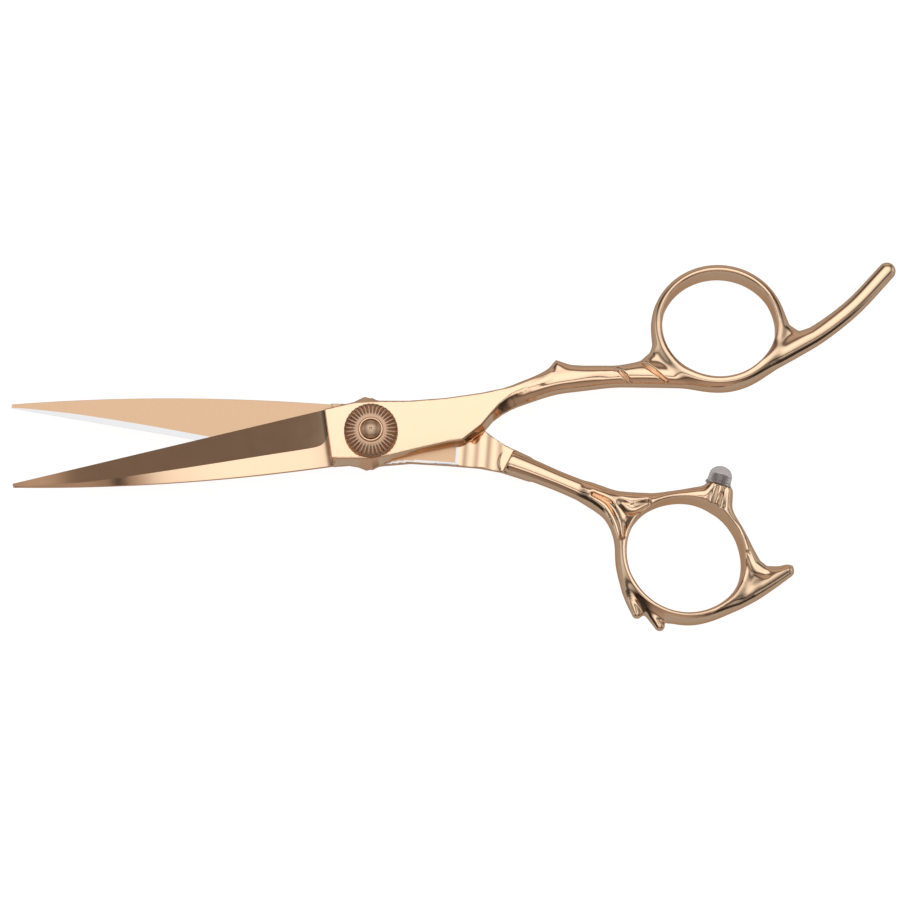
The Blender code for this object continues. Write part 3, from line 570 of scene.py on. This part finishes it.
def field_on_grid(steps, low, shape):
    values = np.full(shape, FAR, np.float32)
    ticks = [low[axis] + CELL * np.arange(shape[axis]) for axis in range(3)]
    for (box_low, box_high, field), operation, width in steps:
        window = []
        for axis in range(3):
            first = np.searchsorted(ticks[axis], box_low[axis])
            last = np.searchsorted(ticks[axis], box_high[axis])
            window.append(slice(first, last))
        window = tuple(window)
        x = ticks[0][window[0]][:, None, None]
        y = ticks[1][window[1]][None, :, None]
        z = ticks[2][window[2]][None, None, :]
        x, y = np.broadcast_arrays(x, y)
        values[window] = apply_step(values[window], field(x, y, z), operation, width)
    return values


def surface_net(values, low):
    """One vertex in each cell that the surface crosses, and a quad across each crossed grid edge."""
    inside = values < 0
    cells = tuple(n - 1 for n in values.shape)
    corners = [(i, j, k) for i in (0, 1) for j in (0, 1) for k in (0, 1)]

    def shifted(array, step):
        return array[tuple(slice(s, s + n) for s, n in zip(step, cells))]

    filled = sum(shifted(inside, step).astype(np.uint8) for step in corners)
    mixed = np.argwhere((filled > 0) & (filled < 8))
    index = np.full(cells, -1, np.int32)
    index[tuple(mixed.T)] = np.arange(len(mixed))

    total = np.zeros((len(mixed), 3))
    count = np.zeros(len(mixed))
    for start in corners:
        for axis in range(3):
            if start[axis]:
                continue
            end = list(start)
            end[axis] = 1
            a = values[tuple((mixed + start).T)]
            b = values[tuple((mixed + end).T)]
            crossed = (a < 0) != (b < 0)
            share = np.where(crossed, a / np.where(crossed, a - b, 1.0), 0.0)
            place = np.array(start, float) + np.eye(3)[axis] * share[:, None]
            total += np.where(crossed[:, None], place, 0.0)
            count += crossed
    points = low + CELL * (mixed + total / count[:, None])

    quads = []
    for axis in range(3):
        u, v = (axis + 1) % 3, (axis + 2) % 3
        first = [slice(1, n) for n in values.shape]
        first[axis] = slice(0, values.shape[axis] - 1)
        after = list(first)
        after[axis] = slice(1, values.shape[axis])
        a, b = inside[tuple(first)], inside[tuple(after)]
        places = np.argwhere(a != b)
        leaving = a[tuple(places.T)]
        offset = np.ones(3, int)
        offset[axis] = 0
        places = places + offset
        keep = (places[:, u] < cells[u]) & (places[:, v] < cells[v])
        places, leaving = places[keep], leaving[keep]
        step_u, step_v = np.eye(3, dtype=int)[u], np.eye(3, dtype=int)[v]
        around = [places, places - step_u, places - step_u - step_v, places - step_v]
        quad = np.stack([index[tuple(p.T)] for p in around], axis=1)
        quad[~leaving] = quad[~leaving][:, ::-1]
        quads.append(quad)
    return points, np.vstack(quads)


def gradient(steps, points):
    slopes = []
    for axis in range(3):
        step = np.eye(3)[axis] * GRADIENT_REACH
        slopes.append(field_at(steps, points + step) - field_at(steps, points - step))
    return np.stack(slopes, axis=1) / (2 * GRADIENT_REACH)


def new_object(name, mesh):
    obj = bpy.data.objects.new(name, mesh)
    bpy.context.scene.collection.objects.link(obj)
    return obj


def mesh_field(name, steps, grid):
    """An object on the surface of the field that the steps add up to."""
    low, high = np.array(grid)
    shape = tuple(int(n) for n in np.ceil((high - low) / CELL) + 1)
    points, quads = surface_net(field_on_grid(steps, low, shape), low)
    for _ in range(SETTLE_STEPS):
        slope = gradient(steps, points)
        distance = field_at(steps, points)
        length = np.maximum((slope**2).sum(1), 0.25)
        move = -distance[:, None] * slope / length[:, None]
        points = points + np.clip(move, -MOST_SETTLE, MOST_SETTLE)
    normals = gradient(steps, points)
    normals /= np.linalg.norm(normals, axis=1)[:, None] + 1e-9
    mesh = bpy.data.meshes.new(name)
    mesh.from_pydata((points * MM).tolist(), [], quads.tolist())
    mesh.validate()
    mesh.shade_smooth()
    mesh.normals_split_custom_set_from_vertices(normals.tolist())
    return new_object(name, mesh)


# Materials.

def shader_of(name, colour, roughness, metallic, edge=PLAIN_EDGE):
    made = bpy.data.materials.new(name)
    made.use_nodes = True
    shader = made.node_tree.nodes["Principled BSDF"]
    shader.inputs["Base Color"].default_value = (*colour, 1.0)
    shader.inputs["Roughness"].default_value = roughness
    shader.inputs["Metallic"].default_value = metallic
    shader.inputs["Specular Tint"].default_value = (*edge, 1.0)
    return made, shader


def add_grain(made, shader, colour, spread, roughness, stretch, scale, bump):
    """Fine variation of colour and roughness over the surface, and a very shallow relief."""
    nodes, links = made.node_tree.nodes, made.node_tree.links
    place = nodes.new("ShaderNodeTexCoord")
    mapping = nodes.new("ShaderNodeMapping")
    mapping.inputs["Scale"].default_value = stretch
    noise = nodes.new("ShaderNodeTexNoise")
    noise.inputs["Scale"].default_value = scale
    noise.inputs["Detail"].default_value = GRAIN_DETAIL
    links.new(place.outputs["Object"], mapping.inputs["Vector"])
    links.new(mapping.outputs["Vector"], noise.inputs["Vector"])
    tone = nodes.new("ShaderNodeMix")
    tone.data_type = "RGBA"
    tone.inputs["A"].default_value = (*[c * (1 - spread) for c in colour], 1.0)
    tone.inputs["B"].default_value = (*[min(1.0, c * (1 + spread)) for c in colour], 1.0)
    links.new(noise.outputs["Fac"], tone.inputs["Factor"])
    links.new(tone.outputs["Result"], shader.inputs["Base Color"])
    span = nodes.new("ShaderNodeMapRange")
    span.inputs["To Min"].default_value = roughness[0]
    span.inputs["To Max"].default_value = roughness[1]
    links.new(noise.outputs["Fac"], span.inputs["Value"])
    links.new(span.outputs["Result"], shader.inputs["Roughness"])
    relief = nodes.new("ShaderNodeBump")
    relief.inputs["Strength"].default_value = bump
    relief.inputs["Distance"].default_value = GRAIN_DEPTH
    links.new(noise.outputs["Fac"], relief.inputs["Height"])
    links.new(relief.outputs["Normal"], shader.inputs["Normal"])


def metal(name, colour, roughness, edge, stretch=(1, 1, 1), scale=400.0, bump=0.05, spread=0.03):
    made, shader = shader_of(name, colour, roughness[0], 1.0, edge)
    add_grain(made, shader, colour, spread, roughness, stretch, scale, bump)
    return made


def polished_gold():
    return metal("polished_rose_gold", (0.85, 0.60, 0.41), (0.09, 0.14), GOLD_EDGE)


def satin_gold():
    return metal(
        "satin_rose_gold", (0.66, 0.44, 0.28), (0.30, 0.38), GOLD_EDGE,
        stretch=ALONG_BLADE, scale=900.0, bump=0.25, spread=0.07,
    )


def ground_silver():
    return metal(
        "ground_steel", (0.62, 0.62, 0.63), (0.16, 0.24), PLAIN_EDGE,
        stretch=ALONG_BLADE, scale=700.0, bump=0.15,
    )


def dial_gold():
    return metal("dial_rose_gold", (0.50, 0.32, 0.215), (0.22, 0.30), GOLD_EDGE, scale=700.0)


# The stud's dome: a darker copy of the polished rose gold. The darker colour is painted shade standing in for
# the dome's dark reflections, and the higher roughness blurs them.
def painted_shade_stud_gold():
    return metal("stud_rose_gold_painted_shade", (0.62, 0.43, 0.29), (0.34, 0.40), GOLD_EDGE)


def steel():
    return metal("polished_steel", (0.72, 0.71, 0.69), (0.12, 0.2), PLAIN_EDGE)


def peg_steel():
    return metal("peg_steel", (0.95, 0.93, 0.91), (0.32, 0.42), PLAIN_EDGE)


def bronze():
    return metal("bearing_bronze", (0.55, 0.36, 0.18), (0.3, 0.42), GOLD_EDGE, spread=0.08)


def polymer():
    colour = (0.85, 0.83, 0.78)
    made, shader = shader_of("glide_polymer", colour, 0.4, 0.0)
    add_grain(made, shader, colour, 0.04, (0.35, 0.5), (1, 1, 1), 500.0, 0.1)
    return made


def silicone():
    colour = (0.56, 0.52, 0.51)
    made, shader = shader_of("clear_silicone", colour, 0.2, 0.0)
    add_grain(made, shader, colour, 0.03, (0.16, 0.26), (1, 1, 1), 500.0, 0.08)
    shader.inputs["Transmission Weight"].default_value = 0.8
    shader.inputs["IOR"].default_value = 1.41
    return made


# Pieces.


def turn_about_pivot(obj, angle):
    obj.rotation_euler.z = math.radians(angle)
    bpy.context.view_layer.update()
    obj.data.transform(obj.matrix_world)
    obj.matrix_world = Matrix.Identity(4)


def finish_piece(obj, body, slot, *materials):
    for made in materials:
        obj.data.materials.append(made)
    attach(obj, body)
    return obj


def arm_steps(pairs, ride_z, face_z, neck_dip, shank, branches, webs, ring, grooves, groove_blend):
    steps = [(block(pairs, ride_z, face_z, neck_dip), "add", BLOCK_BLEND)]
    steps.append((bar(shank, SHANK_POWER), "add", SHANK_BLEND))
    steps += [(bar(branch, BRANCH_POWER), "add", BRANCH_BLEND) for branch in branches]
    steps += [(web(corners, plane), "add", WEB_BLEND) for plane, corners in webs]
    steps.append((finger_ring(*ring), "add", RING_BLEND))
    steps += [(bar(groove, GROOVE_POWER), "cut", groove_blend) for groove in grooves]
    steps.append((finger_hole(*ring), "cut", HOLE_BLEND))
    return steps


def paint_ride_face(body, pairs, ride_z):
    """Slot 1 on the ground ride face and slot 2 on the bright rim round it, up to the polished neck."""
    mesh = body.data
    centres = np.zeros(len(mesh.polygons) * 3)
    normals = np.zeros(len(mesh.polygons) * 3)
    mesh.polygons.foreach_get("center", centres)
    mesh.polygons.foreach_get("normal", normals)
    x, y, z = centres.reshape(-1, 3).T / MM
    flat = (np.abs(z - ride_z) < 0.1) & (np.abs(normals.reshape(-1, 3)[:, 2]) > 0.95)
    ground = flat & (x < RIM_END_X)
    inset = -outline_distance([pair[0] for pair in pairs], x, y)
    rim = ground & (x > RIM_START_X) & ((inset < RIM_WIDTH) | (x > RIM_END_X - RIM_WIDTH))
    finish = np.where(rim, 2, np.where(ground, 1, 0)).astype(np.int32)
    mesh.polygons.foreach_set("material_index", finish)


def front_body(gold, satin, silver):
    steps = arm_steps(
        FRONT_BLOCK, FRONT_Z, ARM_FRONT_Z, 0.0, FRONT_SHANK, [], FRONT_WEBS,
        FRONT_RING, FRONT_GROOVES, FRONT_GROOVE_BLEND,
    )
    steps.append((shoulder(FRONT_Z, 1.0, *FRONT_SHOULDER), "cut", SHOULDER_BLEND))
    steps += [(round_hole(*bore), "cut", BORE_BLEND) for bore in FRONT_BORES]
    body = mesh_field("front_handle_body", steps, FRONT_GRID)
    paint_ride_face(body, FRONT_BLOCK, FRONT_Z)
    turn_about_pivot(body, FRONT_ANGLE)
    return finish_piece(body, "front_handle", "rose_gold", gold, satin, silver)


def rear_body(gold, satin, silver):
    steps = arm_steps(
        REAR_BLOCK, RIDE_Z, ARM_BACK_Z, NECK_DIP, REAR_SHANK, REAR_BRANCHES, REAR_WEBS,
        REAR_RING, REAR_GROOVES, REAR_GROOVE_BLEND,
    )
    steps.append((shoulder(RIDE_Z, -1.0, *REAR_SHOULDER), "cut", SHOULDER_BLEND))
    steps += [(round_hole(*bore), "cut", BORE_BLEND) for bore in REAR_BORES]
    steps.append((bumper_seat(), "cut", SEAT_BLEND))
    body = mesh_field("rear_handle_body", steps, REAR_GRID)
    paint_ride_face(body, REAR_BLOCK, RIDE_Z)
    turn_about_pivot(body, REAR_ANGLE)
    return finish_piece(body, "rear_handle", "rose_gold", gold, satin, silver)


def bumper_seat():
    """The round seat that the bumper stands in."""
    lean = math.radians(BUMPER_LEAN)
    along = np.array([math.sin(lean), math.cos(lean)])
    foot = np.array(BUMPER_SEAT[:2])

    def field(x, y, z):
        dx, dy = x - foot[0], y - foot[1]
        up = dx * along[0] + dy * along[1]
        side = np.sqrt((dx * along[1] - dy * along[0]) ** 2 + (z - BUMPER_SEAT[2]) ** 2)
        return np.maximum(side - BUMPER_RADIUS - BUMPER_SEAT_PLAY, -up)

    return around_point(BUMPER_SEAT, BUMPER_SEAT_REACH, field)


def object_from(name, bm, crease):
    """An object of the built faces, shaded smooth except where they meet at more than crease degrees."""
    bmesh.ops.recalc_face_normals(bm, faces=bm.faces)
    mesh = bpy.data.meshes.new(name)
    bm.to_mesh(mesh)
    bm.free()
    mesh.shade_smooth()
    mesh.set_sharp_from_angle(angle=math.radians(crease))
    return new_object(name, mesh)


def edge_line(distance):
    return HEEL_EDGE * (BLADE_LENGTH - distance) / (BLADE_LENGTH + PLUNGE_X)


def spine_line(distance):
    share = (BLADE_LENGTH - distance) / (BLADE_LENGTH + PLUNGE_X)
    return TIP_SPINE + SPINE_GROWTH * (1 - (1 - min(share, 1.0)) ** SPINE_POWER)


def blade(name, side, face_z, outward, angle):
    """A blade with a flat inner face, a ground strip along its edge and two outer bevels."""
    rings = []
    for distance, ridge, spine, ridge_y, strip in smooth_curve(BLADE_STATIONS, BLADE_STEPS):
        edge = max(edge_line(distance), LEAST_EDGE)
        back = spine_line(distance)
        profile = [
            (edge, 0.0), (edge - strip, 0.0), (back + SPINE_CHAMFER, 0.0), (back, SPINE_CHAMFER),
            (back, spine), (ridge_y, ridge), (edge, EDGE_LAND),
        ]
        rings.append([(-distance, side * y, face_z + outward * h) for y, h in profile])
    bm = bmesh.new()
    rows = [[bm.verts.new(Vector(point) * MM) for point in ring] for ring in rings]
    finish_of = [2, 1, 1, 0, 0, 0, 2]
    for row, after in zip(rows, rows[1:]):
        for i, finish in enumerate(finish_of):
            j = (i + 1) % len(row)
            face = bm.faces.new((row[i], row[j], after[j], after[i]))
            face.material_index = finish
    bm.faces.new(rows[0][::-1])
    bm.faces.new(rows[-1])
    obj = object_from(name, bm, BLADE_CREASE)
    turn_about_pivot(obj, angle)
    return obj


def turned(name, profile, around=TURNED_STEPS):
    """A piece turned about Z, from (radius, z) points in millimetres, closed at the axis or on itself."""
    bm = bmesh.new()
    points = [bm.verts.new((radius * MM, 0.0, z * MM)) for radius, z in profile]
    edges = [bm.edges.new((a, b)) for a, b in zip(points, points[1:])]
    if profile[0][0] > 0:
        edges.append(bm.edges.new((points[-1], points[0])))
    bmesh.ops.spin(
        bm, geom=points + edges, axis=(0, 0, 1), cent=(0, 0, 0),
        angle=2 * math.pi, steps=around, use_merge=True,
    )
    bmesh.ops.remove_doubles(bm, verts=bm.verts, dist=1e-7)
    return object_from(name, bm, TURNED_CREASE)


def fluted_dial():
    """The thumb dial: flutes that deepen towards the rim, then a plain inner ring.

    Each level is (radius, z, flute depth).
    """
    segments = DIAL_FLUTES * FLUTE_STEPS
    levels = [
        (DIAL_BORE, DIAL_POCKET_Z, 0.0), (DIAL_POCKET_RADIUS, DIAL_POCKET_Z, 0.0),
        (DIAL_POCKET_RADIUS, DIAL_Z, 0.0), (DIAL_RADIUS - 0.1, DIAL_Z, 0.0),
        (DIAL_RADIUS, DIAL_Z + 0.12, 0.0), (DIAL_RADIUS, DIAL_TOP_Z - 0.6, 0.1),
        (DIAL_RADIUS - 0.05, DIAL_TOP_Z - 0.3, 0.2), (DIAL_RADIUS - 0.3, DIAL_TOP_Z - 0.1, 0.3),
        (DIAL_RADIUS - 0.8, DIAL_TOP_Z, 0.3), (4.0, DIAL_TOP_Z + 0.02, 0.22),
        (3.5, DIAL_TOP_Z + 0.03, 0.14), (3.15, DIAL_TOP_Z + 0.03, 0.06), (3.0, DIAL_TOP_Z + 0.03, 0.0),
        (2.9, DIAL_TOP_Z + DIAL_LIP, 0.0), (DIAL_WELL_RADIUS, DIAL_TOP_Z + DIAL_LIP, 0.0),
        (DIAL_WELL_RADIUS, DIAL_TOP_Z - DIAL_WELL_DEPTH, 0.0), (DIAL_BORE, DIAL_TOP_Z - DIAL_WELL_DEPTH, 0.0),
    ]
    bm = bmesh.new()
    rows = []
    for i in range(segments):
        turn = 2 * math.pi * i / segments
        groove = 1 - abs(math.sin(math.pi * i / FLUTE_STEPS))
        row = []
        for radius, height, depth in levels:
            cut = depth * groove
            on_rim = DIAL_Z < height < DIAL_TOP_Z - 0.2
            reach = radius - (cut if on_rim else 0.0)
            rise = height - (0.0 if on_rim else cut)
            row.append(bm.verts.new(Vector((reach * math.cos(turn), reach * math.sin(turn), rise)) * MM))
        rows.append(row)
    for row, after in zip(rows, rows[1:] + rows[:1]):
        for i in range(len(row)):
            j = (i + 1) % len(row)
            bm.faces.new((row[i], row[j], after[j], after[i]))
    return object_from("fluted_dial", bm, DIAL_CREASE)


def collar():
    top, foot = COLLAR_HIGH[2], COLLAR_LOW[2]
    return turned("bright_collar", [
        (COLLAR_BORE, top - 0.15), (COLLAR_BORE + 0.06, top - 0.05), (2.1, top + 0.01), (2.25, top),
        (COLLAR_RADIUS - 0.05, top - 0.09), (COLLAR_RADIUS, top - 0.25), (COLLAR_RADIUS, foot),
        (COLLAR_BORE, foot),
    ])


def stud():
    profile = [(0.0, 10.15), (0.16, 10.17), (0.26, 10.33)]
    for k in range(DOME_STEPS):
        turn = math.radians(DOME_FIRST_TURN - DOME_TURN * k)
        profile.append((DOME_RADIUS * math.cos(turn), DOME_Z + DOME_RISE * math.sin(turn)))
    profile += [
        (DOME_RADIUS, 9.05), (1.6, 8.95), (1.6, 8.2), (STUD_SHANK_RADIUS, 8.0),
        (STUD_SHANK_RADIUS, STUD_HEAD_Z), (STUD_HEAD_RADIUS, STUD_HEAD_Z), (STUD_HEAD_RADIUS, 0.25),
        (3.53, 0.08), (3.35, 0.0), (0.0, 0.0),
    ]
    return turned("domed_stud", profile)


def stand_at_bumper(obj):
    place = Matrix.Rotation(math.radians(REAR_ANGLE), 4, "Z") @ Matrix.Translation(
        Vector(BUMPER_SEAT) * MM
    )
    lean = Matrix.Rotation(-math.radians(BUMPER_LEAN), 4, "Z") @ Matrix.Rotation(
        math.radians(-90), 4, "X"
    )
    obj.data.transform(place @ lean)


def bumper_shell():
    profile = [(0.0, BUMPER_HEIGHT)]
    dome_foot = BUMPER_HEIGHT - BUMPER_DOME_RISE
    for k in range(1, BUMPER_DOME_STEPS + 1):
        turn = math.radians(90 - BUMPER_DOME_TURN * k)
        rise = BUMPER_DOME_RISE * math.sin(turn)
        profile.append((BUMPER_DOME_RADIUS * math.cos(turn), dome_foot + rise))
    profile += [
        (2.28, 1.4), (2.32, 0.75), (2.4, 0.6), (2.52, 0.5), (BUMPER_RADIUS, 0.4),
        (BUMPER_RADIUS, BUMPER_FOOT), (BUMPER_POCKET_RADIUS, BUMPER_FOOT),
        (BUMPER_POCKET_RADIUS, BUMPER_POCKET_TOP), (0.0, BUMPER_POCKET_TOP),
    ]
    cap = turned("clear_bumper", profile, BUMPER_STEPS)
    stand_at_bumper(cap)
    return cap


def bumper_peg():
    peg = turned("bumper_peg", [
        (0.0, PEG_TOP), (1.3, PEG_TOP), (1.45, PEG_TOP - 0.1), (PEG_RADIUS, PEG_TOP - 0.25),
        (PEG_RADIUS, BUMPER_FOOT), (0.0, BUMPER_FOOT),
    ], PEG_STEPS)
    stand_at_bumper(peg)
    return peg


def build_pieces():
    gold, satin, silver = polished_gold(), satin_gold(), ground_silver()
    # The stud's gold is a darker copy of the polished gold, with painted shade in its colour.
    stud_gold_painted_shade, dark_gold, plain_steel, brass = painted_shade_stud_gold(), dial_gold(), steel(), bronze()
    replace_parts(front_body(gold, satin, silver), "front_arm")
    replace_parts(rear_body(gold, satin, silver), "rear_arm")
    front_blade = blade("front_blade", 1, FRONT_Z, 1, FRONT_ANGLE)
    rear_blade = blade("rear_blade", -1, RIDE_Z, -1, REAR_ANGLE)
    finish_piece(front_blade, "front_handle", "rose_gold", gold, satin, silver)
    finish_piece(rear_blade, "rear_handle", "rose_gold", gold, satin, silver)
    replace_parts(finish_piece(fluted_dial(), "dial", "rose_gold", dark_gold), "tension_dial")
    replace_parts(finish_piece(collar(), "dial", "rose_gold", gold), "dial_collar")
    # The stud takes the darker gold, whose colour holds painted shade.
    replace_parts(finish_piece(stud(), "rear_handle", "rose_gold", stud_gold_painted_shade), "pivot_stud")
    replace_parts(finish_piece(bumper_shell(), "rear_handle", "clear_silicone", silicone()), "bumper_cap")
    peg = finish_piece(bumper_peg(), "rear_handle", "polished_steel", peg_steel())
    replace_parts(peg, "bumper_stud")
    finishes = {"pivot_bush": brass, "bearing_cage": brass, "glide_washer": polymer()}
    for name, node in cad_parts.items():
        if node.hide_render:
            continue
        for slot in node.material_slots:
            slot.material = finishes.get(name, plain_steel)


def stage_plane(name, height, grey, glow):
    bm = bmesh.new()
    bmesh.ops.create_grid(bm, x_segments=1, y_segments=1, size=STAGE_SIZE)
    mesh = bpy.data.meshes.new(name)
    bm.to_mesh(mesh)
    bm.free()
    obj = new_object(name, mesh)
    obj.location = (0.0, 0.0, height)
    made, shader = shader_of(name, (grey, grey, grey), STAGE_ROUGHNESS, 0.0)
    shader.inputs["Emission Color"].default_value = (1, 1, 1, 1)
    shader.inputs["Emission Strength"].default_value = glow
    mesh.materials.append(made)
    return obj


def floor():
    """A pale floor. The polished metal mirrors a duller table just under it instead."""
    height = cad_box[0][2] - FLOOR_GAP
    pale = stage_plane("floor", height, FLOOR_GREY, FLOOR_GLOW)
    pale.visible_glossy = False
    table = stage_plane("dull_table", height - FLOOR_GAP, TABLE_GREY, 0.0)
    table.visible_camera = False
    table.visible_diffuse = False
    table.visible_shadow = False


def ramp_node(nodes, stops, full, warmth=(1.0, 1.0, 1.0)):
    ramp = nodes.new("ShaderNodeValToRGB")
    ramp.color_ramp.interpolation = "EASE"
    while len(ramp.color_ramp.elements) < len(stops):
        ramp.color_ramp.elements.new(0.5)
    for element, (position, value) in zip(ramp.color_ramp.elements, stops):
        element.position = position
        tint = warmth if value < full * DARK_SHARE else (1.0, 1.0, 1.0)
        element.color = (*[value * share / full for share in tint], 1.0)
    return ramp


def world_light():
    """The room by direction: its brightness from -Y over the top to +Y, times the share left to the sides."""
    world = bpy.data.worlds.new("studio")
    bpy.context.scene.world = world
    world.use_nodes = True
    nodes, links = world.node_tree.nodes, world.node_tree.links
    place = nodes.new("ShaderNodeTexCoord")
    split = nodes.new("ShaderNodeSeparateXYZ")
    links.new(place.outputs["Generated"], split.inputs["Vector"])
    span = nodes.new("ShaderNodeMapRange")
    span.inputs["From Min"].default_value = -1.0
    span.inputs["From Max"].default_value = 1.0
    links.new(split.outputs["Y"], span.inputs["Value"])
    room = ramp_node(nodes, [((across + 1) / 2, value) for across, value in ROOM], SOFTBOX, DARK_TINT)
    links.new(span.outputs["Result"], room.inputs["Fac"])
    sideways = nodes.new("ShaderNodeMath")
    sideways.operation = "ABSOLUTE"
    links.new(split.outputs["X"], sideways.inputs[0])
    sides = ramp_node(nodes, ROOM_SIDES, 1.0)
    links.new(sideways.outputs["Value"], sides.inputs["Fac"])
    both = nodes.new("ShaderNodeMix")
    both.data_type = "RGBA"
    both.blend_type = "MULTIPLY"
    both.inputs["Factor"].default_value = 1.0
    links.new(room.outputs["Color"], both.inputs["A"])
    links.new(sides.outputs["Color"], both.inputs["B"])
    links.new(both.outputs["Result"], nodes["Background"].inputs["Color"])
    nodes["Background"].inputs["Strength"].default_value = SOFTBOX


def camera():
    elevation = math.radians(CAMERA_ELEVATION)
    away = Vector((0.0, -math.cos(elevation), math.sin(elevation)))
    lens = bpy.data.cameras.new("camera")
    lens.sensor_width = SENSOR_WIDTH
    lens.lens = SENSOR_WIDTH * CAMERA_DISTANCE / VIEW_WIDTH
    lens.clip_start = CLIP_START
    obj = new_object("camera", lens)
    obj.location = Vector(CAMERA_TARGET) + CAMERA_DISTANCE * away
    obj.rotation_euler = (math.pi / 2 - elevation, 0.0, 0.0)
    bpy.context.scene.camera = obj


build_pieces()
floor()
world_light()
camera()
bpy.context.scene.view_settings.view_transform = "Standard"
